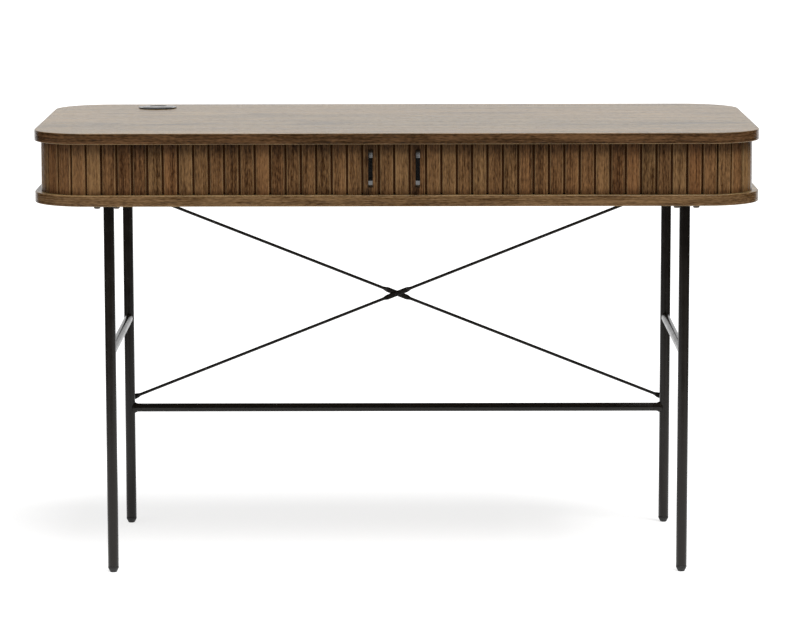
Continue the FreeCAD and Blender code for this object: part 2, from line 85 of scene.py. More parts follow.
def eased(share):
    return share * share * (3 - 2 * share)


def rounded(corners, steps=4):
    # an outline from (a, b, radius) corners, each radius turned into a short arc
    points = []
    for i, (a, b, radius) in enumerate(corners):
        here = Vector((a, b))
        if not radius:
            points.append(here)
            continue
        back = (Vector(corners[i - 1][:2]) - here).normalized()
        ahead = (Vector(corners[(i + 1) % len(corners)][:2]) - here).normalized()
        half = back.angle(ahead) / 2
        centre = here + (back + ahead).normalized() * (radius / sin(half))
        start = here + back * (radius / tan(half)) - centre
        end = here + ahead * (radius / tan(half)) - centre
        points += [centre + start.slerp(end, step / steps).normalized() * radius for step in range(steps + 1)]
    return points


def skin(bm, first, second):
    # faces between two rings of corners
    for i in range(len(first)):
        j = (i + 1) % len(first)
        bm.faces.new((first[i], first[j], second[j], second[i]))


def loft(bm, rings, ringed=False):
    # a skin over rings of equal count, capped at both ends or joined into one loop
    rows = [[bm.verts.new(spot) for spot in ring] for ring in rings]
    for first, second in zip(rows, rows[1:]):
        skin(bm, first, second)
    if ringed:
        skin(bm, rows[-1], rows[0])
    else:
        bm.faces.new(rows[0][::-1])
        bm.faces.new(rows[-1])
    return rows


def circle(centre, across, up, radius, count=48):
    return [centre + across * (radius * cos(a)) + up * (radius * sin(a)) for a in angles(count)]


def lathe(bm, foot, axis, profile, count=48):
    # a turned solid: profile is (radius, height) pairs along the axis, from foot
    across = alongZ if abs(axis.z) < 0.5 else alongX
    up = axis.cross(across)
    loft(bm, [circle(foot + axis * level, across, up, max(radius, tiny), count) for radius, level in profile])


def turnedRing(bm, foot, profile, count=96):
    # a turned ring about Z: profile is a closed outline of (radius, height) pairs
    rings = []
    for angle in angles(count):
        out = Vector((cos(angle), sin(angle), 0))
        rings.append([foot + out * radius + alongZ * level for radius, level in profile])
    loft(bm, rings, ringed=True)


def plate(bm, outline, place, low, high):
    # a flat piece: its outline is set up by place(a, b, level) and runs from low to high
    loft(bm, [[place(a, b, level) for a, b in outline] for level in (low, high)])


def soften(bm, width, segments=2, angle=50):
    # rounds the sharp edges of what has been made so far
    bmesh.ops.recalc_face_normals(bm, faces=bm.faces)
    sharp = [e for e in bm.edges if e.is_manifold and e.calc_face_angle(0) > radians(angle)]
    bmesh.ops.bevel(
        bm, geom=sharp, offset=width, segments=segments, profile=0.5, affect="EDGES", clamp_overlap=True,
    )


def pieceFrom(bm, name, smoothAngle=35):
    bmesh.ops.remove_doubles(bm, verts=bm.verts, dist=1e-6)
    bmesh.ops.recalc_face_normals(bm, faces=bm.faces)
    mesh = bpy.data.meshes.new(name)
    bm.to_mesh(mesh)
    bm.free()
    mesh.shade_smooth()
    mesh.set_sharp_from_angle(angle=radians(smoothAngle))
    return addObject(name, mesh)


def addObject(name, data):
    added = bpy.data.objects.new(name, data)
    scene.collection.objects.link(added)
    return added


def finishMesh(piece):
    # turns what the modifiers make into the piece's plain mesh
    bpy.context.view_layer.update()
    depsgraph = bpy.context.evaluated_depsgraph_get()
    mesh = bpy.data.meshes.new_from_object(
        piece.evaluated_get(depsgraph), preserve_all_data_layers=True, depsgraph=depsgraph,
    )
    piece.modifiers.clear()
    piece.data = mesh
    mesh.name = piece.name


def pieceName(node):
    # left_front_leg becomes leftFrontLeg
    first, *others = node.split("_")
    return first + "".join(word.capitalize() for word in others)


def fit(piece, node, material, body="root"):
    # gives a finished piece its material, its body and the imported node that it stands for
    piece.data.materials.clear()
    piece.data.materials.append(material)
    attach(piece, body)
    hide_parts(node)
    return piece


def makePiece(bm, node, material, body="root", smoothAngle=35):
    return fit(pieceFrom(bm, pieceName(node), smoothAngle), node, material, body)


# Node helpers, for shaders and for geometry

def addNode(tree, kind, *links, **settings):
    # a node with its settings, and its inputs linked or set in order
    node = tree.nodes.new(kind)
    for key, value in settings.items():
        setattr(node, key, value)
    for socket, value in links:
        if isinstance(value, bpy.types.NodeSocket):
            tree.links.new(value, node.inputs[socket])
        else:
            node.inputs[socket].default_value = value
    return node


def output(tree, kind, *links, **settings):
    return addNode(tree, kind, *links, **settings).outputs[0]


def calculate(tree, operation, first, *others):
    # one math node after another, from the first value to the last
    for other in others or (0.0,):
        first = output(tree, "ShaderNodeMath", (0, first), (1, other), operation=operation)
    return first


def arithmetic(tree):
    # plus, minus and times for the values of one tree
    return [
        lambda *values, operation=operation: calculate(tree, operation, *values)
        for operation in ("ADD", "SUBTRACT", "MULTIPLY")
    ]


def vector(tree, operation, first, second):
    place = "Scale" if operation == "SCALE" else 1
    return output(tree, "ShaderNodeVectorMath", (0, first), (place, second), operation=operation)


def noise(tree, spot, detail, roughness=0.55, distortion=0.0):
    return output(
        tree, "ShaderNodeTexNoise", ("Vector", spot), ("Scale", 1.0), ("Detail", detail),
        ("Roughness", roughness), ("Distortion", distortion),
    )


def remap(tree, value, low, high, toLow=0.0, toHigh=1.0, smooth=False):
    return output(
        tree, "ShaderNodeMapRange", ("Value", value), ("From Min", low), ("From Max", high),
        ("To Min", toLow), ("To Max", toHigh), interpolation_type="SMOOTHSTEP" if smooth else "LINEAR",
    )


def mixColors(tree, share, first, second, blend="MIX"):
    links = (0, share), (6, first), (7, second)
    return addNode(tree, "ShaderNodeMix", *links, data_type="RGBA", blend_type=blend).outputs[2]


def tinted(tree, share, color, tint, blend="MULTIPLY"):
    return mixColors(tree, share, color, mixColors(tree, 1.0, color, tint, blend))


def newGroup(name, inputs, outputs, kind="ShaderNodeTree"):
    # inputs and outputs give the names of the sockets of each form
    tree = bpy.data.node_groups.new(name, kind)
    for sockets, way in ((inputs, "INPUT"), (outputs, "OUTPUT")):
        for form, titles in sockets.items():
            for title in titles:
                tree.interface.new_socket(name=title, in_out=way, socket_type="NodeSocket" + form)
    return tree, tree.nodes.new("NodeGroupInput").outputs, tree.nodes.new("NodeGroupOutput").inputs


def newMaterial(name, constants):
    material = bpy.data.materials.new(name)
    material.use_nodes = True
    shader = material.node_tree.nodes["Principled BSDF"]
    for key, value in constants.items():
        shader.inputs[key].default_value = value
    return material, material.node_tree, shader


def objectSpot(tree):
    return tree.nodes.new("ShaderNodeTexCoord").outputs["Object"]


def fromMesh(tree, name, socket="Fac"):
    # what the mesh carries under that name
    return addNode(tree, "ShaderNodeAttribute", attribute_name=name).outputs[socket]


def feedShader(tree, shader, color, roughness, height, strength, distance):
    bump = output(tree, "ShaderNodeBump", ("Height", height), ("Strength", strength), ("Distance", distance))
    for value, socket in ((color, "Base Color"), (roughness, "Roughness"), (bump, "Normal")):
        tree.links.new(value, shader.inputs[socket])


# Oak, open-grained and smoked: the grain runs along the X of Spot, which is in metres

grain = {  # repeats in a metre along and across the grain, then detail, roughness and distortion
    "wander": (2.2, 11.0, 2.0, 0.55, 0.0),
    "streak": (3.2, 150.0, 5.0, 0.6, 0.3),
    "fibre": (16.0, 520.0, 3.0, 0.65, 0.0),
    "fleck": (120.0, 620.0, 2.0, 0.6, 0.0),
    "cloud": (1.1, 7.0, 2.0, 0.55, 0.0),
    "dash": (80.0, 900.0, 1.0, 0.4, 0.0),
}
figure = {
    "leafAlong": 7.0, "leafInto": 3.0,  # how far apart in the log the leaves are cut
    "archCurve": 34.0, "ringsAlong": 3.2, "ringWander": 5.0, "ringSharp": 2.5,
    "streak": 1.45, "fibre": 1.3, "fleck": 1.9, "cloud": 0.45, "tone": 0.38, "ring": 0.7, "level": 0.55,
    "warmth": 0.5, "warmthRange": (0.3, 0.7, 0.35, 1.0),
    "poreRange": (0.60, 0.70), "poreFade": (0.35, 0.6, 1.0, 0.25), "poreTint": (0.32, 0.27, 0.22, 1),
    "wearAndHighlightRange": (0.35, 0.65, 0.35, 0.75),
    "roughRange": (0.3, 0.7, 0.24, 0.32), "poreRough": 0.18, "fibreHeight": 0.35,
}


def makeOakFigure():
    tree, given, made = newGroup(
        "oakFigure",
        {
            "Vector": ["Spot"], "Color": ["Dark", "Light", "Red", "Bare"],
            "Float": ["Tone", "Warmth", "Worn", "Leaf Width", "Cathedral", "Pores"],
        },
        {"Color": ["Color"], "Float": ["Roughness", "Height"]},
    )
    plus, minus, times = arithmetic(tree)
    parts = addNode(tree, "ShaderNodeSeparateXYZ", (0, given["Spot"])).outputs
    # veneer leaves lie side by side, each cut from another place
    across = calculate(tree, "DIVIDE", parts[1], given["Leaf Width"])
    leaf = calculate(tree, "FLOOR", across)
    within = minus(across, leaf, 0.5)
    leafSeed = output(tree, "ShaderNodeTexWhiteNoise", ("W", leaf), noise_dimensions="1D")
    cutAlong = times(leafSeed, figure["leafAlong"])
    shift = output(tree, "ShaderNodeCombineXYZ", (0, cutAlong), (2, times(leafSeed, figure["leafInto"])))
    placed = vector(tree, "ADD", given["Spot"], shift)
    drawn = {}
    for name, (along, aside, *look) in grain.items():
        drawn[name] = noise(tree, vector(tree, "MULTIPLY", placed, (along, aside, aside)), *look)
    streak, fibre, cloud = drawn["streak"], drawn["fibre"], drawn["cloud"]

    # growth rings as long nested arches
    arch = times(within, within, figure["archCurve"])
    along = times(plus(parts[0], cutAlong), figure["ringsAlong"])
    phase = plus(arch, along, times(drawn["wander"], figure["ringWander"]))
    ring = remap(tree, calculate(tree, "SINE", times(phase, 2 * pi)), -1.0, 1.0)
    ring = calculate(tree, "POWER", ring, figure["ringSharp"])

    pore = remap(tree, drawn["dash"], *figure["poreRange"], smooth=True)
    pore = times(pore, remap(tree, streak, *figure["poreFade"]))
    poreDepth = times(pore, given["Pores"])
    shares = [(drawn[name], figure[name]) for name in ("streak", "fibre", "fleck", "cloud")]
    shares.append((given["Tone"], figure["tone"]))
    total = plus(*[times(minus(value, 0.5), share) for value, share in shares])
    total = minus(total, times(ring, given["Cathedral"], figure["ring"]))
    level = output(tree, "ShaderNodeClamp", (0, plus(total, figure["level"])))

    color = mixColors(tree, level, given["Dark"], given["Light"])
    warmth = times(given["Warmth"], remap(tree, cloud, *figure["warmthRange"]), figure["warmth"])
    color = tinted(tree, warmth, color, given["Red"], "SOFT_LIGHT")
    color = tinted(tree, poreDepth, color, figure["poreTint"])
    # the arrises take the bare colour: partly wear, partly a painted highlight where the edges catch the light
    worn = times(given["Worn"], remap(tree, fibre, *figure["wearAndHighlightRange"]))
    tree.links.new(mixColors(tree, worn, color, given["Bare"]), made["Color"])
    rough = plus(remap(tree, fibre, *figure["roughRange"]), times(pore, figure["poreRough"]))
    tree.links.new(rough, made["Roughness"])
    tree.links.new(minus(times(fibre, figure["fibreHeight"]), poreDepth), made["Height"])
    return tree


oakFigure = makeOakFigure()
oak = {  # what the looks share, apart from what they set or the mesh carries
    "Red": hexColor("8a5638"), "Bare": hexColor("b79a6e"), "Pores": 0.8, "Leaf Width": 4.0,
    "Tone": 0.5, "Warmth": 0.5, "Worn": 0.0,
}
oakLooks = {
    "panels": {"Dark": hexColor("2e1f0d"), "Light": hexColor("a89065"), "Cathedral": 0.42, "Leaf Width": 0.187},
    "boards": {"Dark": hexColor("33241a"), "Light": hexColor("6b5038"), "Cathedral": 0.2, "Leaf Width": 0.12},
    # the top band is a darker copy of the low band's veneer: partly its own tone, partly painted shade for the
    # less light it gets from the floor
    "topBand": {"Dark": hexColor("37240f"), "Light": hexColor("7c5b3b"), "Cathedral": 0.25},
    "lowBand": {"Dark": hexColor("4c351b"), "Light": hexColor("90734f"), "Cathedral": 0.25},
    "slats": {"Dark": hexColor("3c240c"), "Light": hexColor("95724a"), "Cathedral": 0.15},
}
lacquer = {"IOR": 1.4, "bump": 0.6, "bumpDepth": 0.00012}
paintedEndShade = {  # painted shade at both ends of a slat, under the top and above the shelf: each end is (level, run, strength)
    "tint": (0.3, 0.23, 0.17, 1),
    "ends": [(desk["ceiling"], -0.022, 0.5), (desk["shelf"], 0.013, 0.62)],
}


def makeOak(name, look, perPiece=False, endShaded=False):
    # perPiece takes the grain's place, the tone with its painted shade and the edge wear with its painted
    # highlight from what the mesh carries
    material, tree, shader = newMaterial(name, {"IOR": lacquer["IOR"]})
    values = {**oak, **oakLooks[look]}
    if perPiece:
        values["Spot"] = fromMesh(tree, "grainSpot", "Vector")
        for socket, attribute in (("Tone", "pieceTone"), ("Warmth", "pieceWarmth"), ("Worn", "wornArris")):
            values[socket] = fromMesh(tree, attribute)
    else:
        values["Spot"] = objectSpot(tree)
    drawn = addNode(tree, "ShaderNodeGroup", *values.items(), node_tree=oakFigure).outputs
    color = drawn["Color"]
    # painted shade: the slat's colour darkens towards both of its ends
    if endShaded:
        height = addNode(tree, "ShaderNodeSeparateXYZ", (0, objectSpot(tree))).outputs[2]
        for level, run, strength in paintedEndShade["ends"]:
            endShade = remap(tree, height, level, level + run, strength, 0.0, smooth=True)
            color = tinted(tree, endShade, color, paintedEndShade["tint"])
    feedShader(tree, shader, color, drawn["Roughness"], drawn["Height"], lacquer["bump"], lacquer["bumpDepth"])
    return material


panelOak = makeOak("panelOak", "panels")
bandOak = makeOak("bandOak", "topBand", perPiece=True)
lowBandOak = makeOak("lowBandOak", "lowBand", perPiece=True)
slatOak = makeOak("slatOak", "slats", perPiece=True, endShaded=True)
boardOak = makeOak("boardOak", "boards")


# Painted steel, plastic and beech share one grain of small specks

specks = {  # the specks, and the wide patches that they lie in
    "detail": 3.0, "roughness": 0.6, "bump": 0.5,
    "patchDetail": 2.0, "patchScale": 0.04, "patchRange": (0.3, 0.7),
}


def makeSpeckle():
    tree, given, made = newGroup(
        "speckle",
        {"Vector": ["Spot"], "Float": ["Size", "Spread"], "Color": ["Base"]},
        {"Color": ["Color"], "Float": ["Mask", "Height"]},
    )
    plus, minus, times = arithmetic(tree)
    scaled = vector(tree, "DIVIDE", given["Spot"], given["Size"])
    wide = vector(tree, "MULTIPLY", scaled, (specks["patchScale"],) * 3)
    coarse = noise(tree, wide, specks["patchDetail"])
    shade = plus(times(minus(coarse, 0.5), times(given["Spread"], 2.0)), 1.0)
    shadeColor = output(tree, "ShaderNodeCombineXYZ", (0, shade), (1, shade), (2, shade))
    tree.links.new(mixColors(tree, 1.0, given["Base"], shadeColor, "MULTIPLY"), made["Color"])
    tree.links.new(coarse, made["Mask"])
    tree.links.new(noise(tree, scaled, specks["detail"], specks["roughness"]), made["Height"])
    return tree


speckle = makeSpeckle()


def makeCoated(name, color, size, spread, rough, bumpDepth, constants):
    # size is that of a speck, spread how far the patches differ, and rough the range of roughness
    material, tree, shader = newMaterial(name, constants)
    drawn = addNode(
        tree, "ShaderNodeGroup", ("Spot", objectSpot(tree)), ("Size", size), ("Base", hexColor(color)),
        ("Spread", spread), node_tree=speckle,
    ).outputs
    roughness = remap(tree, drawn["Mask"], *specks["patchRange"], *rough)
    feedShader(tree, shader, drawn["Color"], roughness, drawn["Height"], specks["bump"], bumpDepth)
    return material


powderBlack = makeCoated(
    "powderBlack", "231f1b", 0.0009, 0.25, (0.2, 0.28), 0.00002, {"Specular IOR Level": 0.28},
)
handleBlack = makeCoated("handleBlack", "0d0c0b", 0.0012, 0.2, (0.16, 0.24), 0.00001, {"IOR": 2.0})
boltBlack = makeCoated("boltBlack", "232120", 0.0006, 0.3, (0.35, 0.5), 0.00002, {"Metallic": 0.6})
screwGrey = makeCoated("screwGrey", "6a625a", 0.0006, 0.3, (0.3, 0.45), 0.00002, {"Metallic": 0.85})
plasticBlack = makeCoated("plasticBlack", "191713", 0.0007, 0.15, (0.15, 0.2), 0.000008, {"IOR": 1.45})
footBlack = makeCoated("footBlack", "1e1d1c", 0.0008, 0.2, (0.5, 0.6), 0.00004, {"IOR": 1.5})
beech = makeCoated("beech", "b08a60", 0.004, 0.15, (0.55, 0.7), 0.00005, {"IOR": 1.45})

weave = {
    "thread": 0.0011, "dark": "3a200c", "light": "5a3412", "rough": (0.95, 0.8),
    "bump": 0.7, "bumpDepth": 0.0002,
}


def makeCanvasCloth():
    # plain weave, drawn from the strip's own run and height
    material, tree, shader = newMaterial("canvasCloth", {"Sheen Weight": 0.15, "Specular IOR Level": 0.2})
    parts = addNode(tree, "ShaderNodeSeparateXYZ", (0, fromMesh(tree, "grainSpot", "Vector"))).outputs
    threads = []
    for part in parts[:2]:
        wave = calculate(tree, "SINE", calculate(tree, "MULTIPLY", part, 2 * pi / weave["thread"]))
        threads.append(remap(tree, wave, -1.0, 1.0))
    over = calculate(tree, "MAXIMUM", *threads)
    color = mixColors(tree, over, hexColor(weave["dark"]), hexColor(weave["light"]))
    roughness = remap(tree, over, 0.0, 1.0, *weave["rough"])
    feedShader(tree, shader, color, roughness, over, weave["bump"], weave["bumpDepth"])
    return material


canvasCloth = makeCanvasCloth()
print("materials made:", len(bpy.data.materials))


# The outline that both panels share

def outlineStations(steps=24):
    # (inner corner point, outward direction, distance run) all round, from the middle of the back
    stations, run, seam = [], 0.0, 0.0001
    quarter = desk["cornerRadius"] * pi / 2

    def add(x, y, angle, distance):
        out = Vector((cos(angle), sin(angle), 0))
        stations.append((Vector((x, y + desk["middleY"], 0)), out, distance))

    add(seam, innerY, pi / 2, run)
    run += innerX - seam
    for turn, (right, rear) in enumerate(((1, 1), (1, -1), (-1, -1), (-1, 1))):
        begin = pi / 2 - turn * pi / 2
        for step in range(steps + 1):
            angle = begin - step / steps * pi / 2
            add(right * innerX, rear * innerY, angle, run + quarter * step / steps)
        run += quarter + (2 * innerY if turn % 2 == 0 else 2 * innerX)
    run -= innerX + seam
    add(-seam, innerY, pi / 2, run)
    return stations


def arrisWearAndHighlight(inset, arris, worn, within=0.98):
    # only the rounding of an edge gets the wear and the painted highlight, not the flat on either side of it
    return worn if tiny < inset < arris * within else 0.0


band = {  # the tones are those of the lower and the upper edge: the bottom band's run from light at its lower edge to dark under the shelf is painted shade, and the top band's low tone is partly painted shade
    "arris": 0.0011, "arrisSteps": 5, "topTone": (0.3, 0.3), "bottomTone": (0.85, 0.25),
    "warmth": 0.4, "wearAndHighlightAbove": 0.4, "wearAndHighlightBelow": 1.0, "grainApart": 9,
}


def makeBand(node, low, high, tone, material):
    arris, thickness = band["arris"], desk["bandThickness"]
    corners = [(thickness, low, 0), (0, low, arris), (0, high, arris), (thickness, high, 0)]
    profile = rounded(corners, band["arrisSteps"])
    bm = bmesh.new()
    grainSpot = bm.verts.layers.float_vector.new("grainSpot")
    names = ("wornArris", "pieceTone", "pieceWarmth")
    worn, shade, warmth = [bm.verts.layers.float.new(name) for name in names]
    rings, spots = [], []
    for centre, out, distance in outlineStations():
        rings.append([centre + out * (desk["cornerRadius"] - inset) + alongZ * z for inset, z in profile])
        spots.append([Vector((distance + low * band["grainApart"], z, inset)) for inset, z in profile])
    for row, line in zip(loft(bm, rings, ringed=True), spots):
        for vert, spot, (inset, z) in zip(row, line, profile):
            vert[grainSpot] = spot
            # the rounded edges carry wear and a painted highlight, strongest on the lower edge
            vert[worn] = arrisWearAndHighlight(inset, arris, band["wearAndHighlightBelow" if z < (low + high) / 2 else "wearAndHighlightAbove"])
            # painted shade: the tone runs from that of the lower edge to that of the upper edge
            vert[shade] = tone[0] + (tone[1] - tone[0]) * (z - low) / (high - low)
            vert[warmth] = band["warmth"]
    return makePiece(bm, node, material)


makeBand("top_edge_band", desk["ceiling"], desk["top"], band["topTone"], bandOak)
makeBand("bottom_edge_band", desk["underside"], desk["shelf"], band["bottomTone"], lowBandOak)


# The panels inside their bands, with the groove that the slats run in

panel = {
    "grooveInset": 0.0114, "grooveWidth": 0.0052, "grooveDepth": 0.007, "fieldInset": 0.05,
    "holeRadius": 0.030, "cableHoleRadius": 0.025, "holeSides": 96,
    "slotInset": 0.0029, "slotWidth": 0.0062, "slotDepth": 0.005, "slotGap": 0.0001,
    "cutterPast": 0.01, "cutterLength": 0.05, "smooth": 30,
}


def makePanel(node, low, high, grooveUp, holeRadius):
    # the slab is one skin over the outline, and its groove is part of the same profile
    near, far = panel["grooveInset"], panel["grooveInset"] + panel["grooveWidth"]
    edge, field = desk["bandThickness"], panel["fieldInset"]
    if grooveUp:
        floor = high - panel["grooveDepth"]
        groove = [(edge, low), (edge, high), (near, high), (near, floor), (far, floor), (far, high)]
    else:
        roof = low + panel["grooveDepth"]
        groove = [(far, low), (far, roof), (near, roof), (near, low), (edge, low), (edge, high)]
    rings = []
    for inset, z in [(field, low)] + groove + [(field, high)]:
        reach = desk["cornerRadius"] - inset
        rings.append([centre + out * reach + alongZ * z for centre, out, _ in outlineStations()[1:-1]])
    bm = bmesh.new()
    loft(bm, rings)
    slab = pieceFrom(bm, pieceName(node), panel["smooth"])

    hole, slot = bmesh.new(), bmesh.new()
    past = panel["cutterPast"]
    lidLow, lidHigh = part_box("grommet_lid")
    spot = (lidLow + lidHigh) / 2
    wall = [(holeRadius, 0), (holeRadius, panel["cutterLength"])]
    lathe(hole, Vector((spot.x, spot.y, low - past)), alongZ, wall, panel["holeSides"])
    ends = (high - panel["slotDepth"], high + past) if grooveUp else (low - past, low + panel["slotDepth"])
    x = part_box("back_panel")[1].x + panel["slotGap"]
    y = desk["middleY"] + desk["halfDepth"] - panel["slotInset"]
    corners = [(-x, y - panel["slotWidth"]), (x, y - panel["slotWidth"]), (x, y), (-x, y)]
    plate(slot, corners, lambda a, b, level: Vector((a, b, level)), *ends)
    cutters = [pieceFrom(hole, slab.name + "Hole"), pieceFrom(slot, slab.name + "Slot")]
    for cutter in cutters:
        cut = slab.modifiers.new("cut", "BOOLEAN")
        cut.operation, cut.solver, cut.object = "DIFFERENCE", "EXACT", cutter
    finishMesh(slab)
    for cutter in cutters:
        bpy.data.objects.remove(cutter)
    slab.data.set_sharp_from_angle(angle=radians(panel["smooth"]))
    return fit(slab, node, panelOak)


makePanel("top_panel", desk["ceiling"], desk["top"], False, panel["holeRadius"])
makePanel("bottom_panel", desk["underside"], desk["shelf"], True, panel["cableHoleRadius"])
print("panels and bands made")


# The path of the slats' faces, from the line where the doors meet, round the corner and side to the back

track = {"inset": 0.011, "meetingX": -0.0041, "cornerSteps": 64, "pastRear": 0.35}
faceRadius = desk["cornerRadius"] - track["inset"]
bendRun = faceRadius * pi / 2
bendEnd = innerX + bendRun
sideEnd = bendEnd + 2 * innerY
rearBendEnd = sideEnd + bendRun


def trackSpot(side, along, inset):
    # a point of the track at that inset from the panels' edge
    reach = desk["cornerRadius"] - inset
    if along <= innerX:
        centre, out = Vector((along, -innerY, 0)), Vector((0, -1, 0))
    elif along <= bendEnd:
        turn = (along - innerX) / faceRadius
        centre, out = Vector((innerX, -innerY, 0)), Vector((sin(turn), -cos(turn), 0))
    elif along <= sideEnd:
        centre, out = Vector((innerX, along - bendEnd - innerY, 0)), alongX
    elif along <= rearBendEnd:
        turn = (along - sideEnd) / faceRadius
        centre, out = Vector((innerX, innerY, 0)), Vector((cos(turn), sin(turn), 0))
    else:
        centre, out = Vector((innerX + rearBendEnd - along, innerY, 0)), alongY
    spot = centre + out * reach + Vector((0, desk["middleY"], 0))
    return Vector((side * spot.x, spot.y, 0))


def trackStops(start, end):
    # distances along the track with every bend divided finely
    stops = [start]
    for first, last in ((innerX, bendEnd), (sideEnd, rearBendEnd)):
        stops += [first + (last - first) * i / track["cornerSteps"] for i in range(track["cornerSteps"] + 1)]
    return sorted({s for s in stops if start <= s < end} | {end})


# Slats: one is modelled, and the rest are set out along the track by geometry nodes

slat = {
    "pitch": 0.02515, "width": 0.0218, "handleExtra": 0.0018, "thickness": 0.006, "shoulderGap": 0.0005,
    "arris": 0.0022, "backArris": 0.0003, "worn": 0.4, "grainApart": 11.0, "smooth": 40,
    "tongueThickness": 0.0032, "tongueSetback": 0.0009, "tongueDown": 0.0067, "tongueUp": 0.006,
    "leading": 5, "tail": 3, "seed": 17, "seedStep": 7, "seedRight": 500, "seedDraw": 100.0,
}


def makeSlatModel(name, width):
    half = width / 2
    arris, back, thickness = slat["arris"], slat["backArris"], slat["thickness"]
    corners = [(-half, 0, arris), (half, 0, arris), (half, thickness, back), (-half, thickness, back)]
    near = (thickness - slat["tongueThickness"]) / 2
    far = near + slat["tongueThickness"]
    reach = half - slat["tongueSetback"]
    tongue = [(-reach, near), (reach, near), (reach, far), (-reach, far)]
    low, high = desk["shelf"] + slat["shoulderGap"], desk["ceiling"] - slat["shoulderGap"]
    bm = bmesh.new()
    body = [[bm.verts.new((a, b, z)) for a, b in rounded(corners)] for z in (low, high)]
    skin(bm, *body)
    tips = (desk["shelf"] - slat["tongueDown"], desk["ceiling"] + slat["tongueUp"])
    for ring, root, tip in zip(body, (low, high), tips):
        base, end = [[bm.verts.new((a, b, z)) for a, b in tongue] for z in (root, tip)]
        skin(bm, base, end)
        bm.faces.new(end)
        loops = [bm.edges.get((r[i], r[(i + 1) % len(r)])) for r in (ring, base) for i in range(len(r))]
        bmesh.ops.triangle_fill(bm, use_beauty=True, use_dissolve=False, edges=loops)
    grainSpot = bm.verts.layers.float_vector.new("grainSpot")
    worn = bm.verts.layers.float.new("wornArris")
    # the rounded front edges carry wear and a painted highlight
    for vert in bm.verts:
        x, y, z = vert.co
        vert[grainSpot] = Vector((z, x, y))
        vert[worn] = arrisWearAndHighlight(y, arris, slat["worn"]) if low - tiny < z < high + tiny else 0.0
    return pieceFrom(bm, name, slat["smooth"])


def storeOn(tree, geometry, name, kind, value):
    links = ("Geometry", geometry), ("Name", name)
    store = addNode(tree, "GeometryNodeStoreNamedAttribute", *links, data_type=kind)
    tree.links.new(value, next(s for s in store.inputs if s.name == "Value" and s.enabled))
    return store.outputs[0]


def carried(tree, name):
    # a vector that the geometry carries under that name
    return output(tree, "GeometryNodeInputNamedAttribute", ("Name", name), data_type="FLOAT_VECTOR")


def setOnPoints(tree, shape, points, rotation):
    shape = addNode(tree, "GeometryNodeObjectInfo", ("Object", shape)).outputs["Geometry"]
    rows = output(
        tree, "GeometryNodeInstanceOnPoints", ("Points", points), ("Instance", shape), ("Rotation", rotation),
    )
    return output(tree, "GeometryNodeRealizeInstances", (0, rows))


def giveMaterial(tree, solid, given, made):
    done = output(tree, "GeometryNodeSetMaterial", (0, solid), ("Material", given["Finish"]))
    tree.links.new(done, made["Geometry"])


def slatRowTree():
    tree, given, made = newGroup(
        "slatRow",
        {
            "Geometry": ["Geometry"], "Object": ["Slat"], "Int": ["Count", "Seed"], "Material": ["Finish"],
            "Float": ["First", "Pitch", "Skip", "Side", "Grain Apart"],
        },
        {"Geometry": ["Geometry"]}, "GeometryNodeTree",
    )
    plus, _, times = arithmetic(tree)
    index = tree.nodes.new("GeometryNodeInputIndex").outputs[0]
    later = calculate(tree, "MINIMUM", index, 1.0)
    run = plus(given["First"], times(index, given["Pitch"]), times(later, given["Skip"]))
    path = output(tree, "GeometryNodeMeshToCurve", (0, given["Geometry"]))
    sample = addNode(
        tree, "GeometryNodeSampleCurve", ("Curves", path), ("Length", run), mode="LENGTH", use_all_curves=True,
    ).outputs
    points = output(tree, "GeometryNodePoints", ("Count", given["Count"]), ("Position", sample["Position"]))
    facing = vector(tree, "SCALE", sample["Tangent"], given["Side"])
    turn = output(tree, "FunctionNodeAlignRotationToVector", ("Vector", facing), axis="X", pivot_axis="Z")
    # every slat draws its own tone, warmth and place in the log
    draws = ("pieceTone", "FLOAT", 1), ("pieceWarmth", "FLOAT", 1), ("pieceShift", "FLOAT_VECTOR", 0)
    for i, (name, kind, socket) in enumerate(draws):
        seed = plus(given["Seed"], i * slat["seedDraw"])
        chance = addNode(tree, "FunctionNodeRandomValue", ("ID", index), ("Seed", seed), data_type=kind)
        points = storeOn(tree, points, name, kind, chance.outputs[socket])
    solid = setOnPoints(tree, given["Slat"], points, turn)
    far = vector(tree, "SCALE", carried(tree, "pieceShift"), given["Grain Apart"])
    moved = vector(tree, "ADD", carried(tree, "grainSpot"), far)
    giveMaterial(tree, storeOn(tree, solid, "grainSpot", "FLOAT_VECTOR", moved), given, made)
    return tree


def runTree(piece, tree, values):
    # sets the tree's inputs by their identifiers, then keeps the result as a plain mesh
    modifier = piece.modifiers.new("tree", "NODES")
    modifier.node_group = tree
    for item in tree.interface.items_tree:
        if item.in_out == "INPUT" and item.name in values:
            modifier[item.identifier] = values[item.name]
    finishMesh(piece)
    return piece


slatTree = slatRowTree()
plainSlat = makeSlatModel("plainSlatModel", slat["width"])
wideSlat = makeSlatModel("wideSlatModel", slat["width"] + slat["handleExtra"])
straightSlats = int((innerX - abs(track["meetingX"]) - slat["handleExtra"]) / slat["pitch"])
tailStart = ceil((rearBendEnd + abs(track["meetingX"]) - slat["handleExtra"]) / slat["pitch"])


def slatBegin(number):
    return number * slat["pitch"] + (slat["handleExtra"] if number > 1 else 0)


def slatMiddle(number):
    return (slatBegin(number) + slatBegin(number + 1)) / 2


def makeTrackPath(side):
    # the faces' path as a chain of edges, which the tree turns into a curve
    stops = trackStops(side * track["meetingX"], rearBendEnd + track["pastRear"])
    mesh = bpy.data.meshes.new("trackPath")
    spots = [trackSpot(side, stop, track["inset"]) for stop in stops]
    mesh.from_pydata(spots, [(i, i + 1) for i in range(len(stops) - 1)], [])
    return mesh


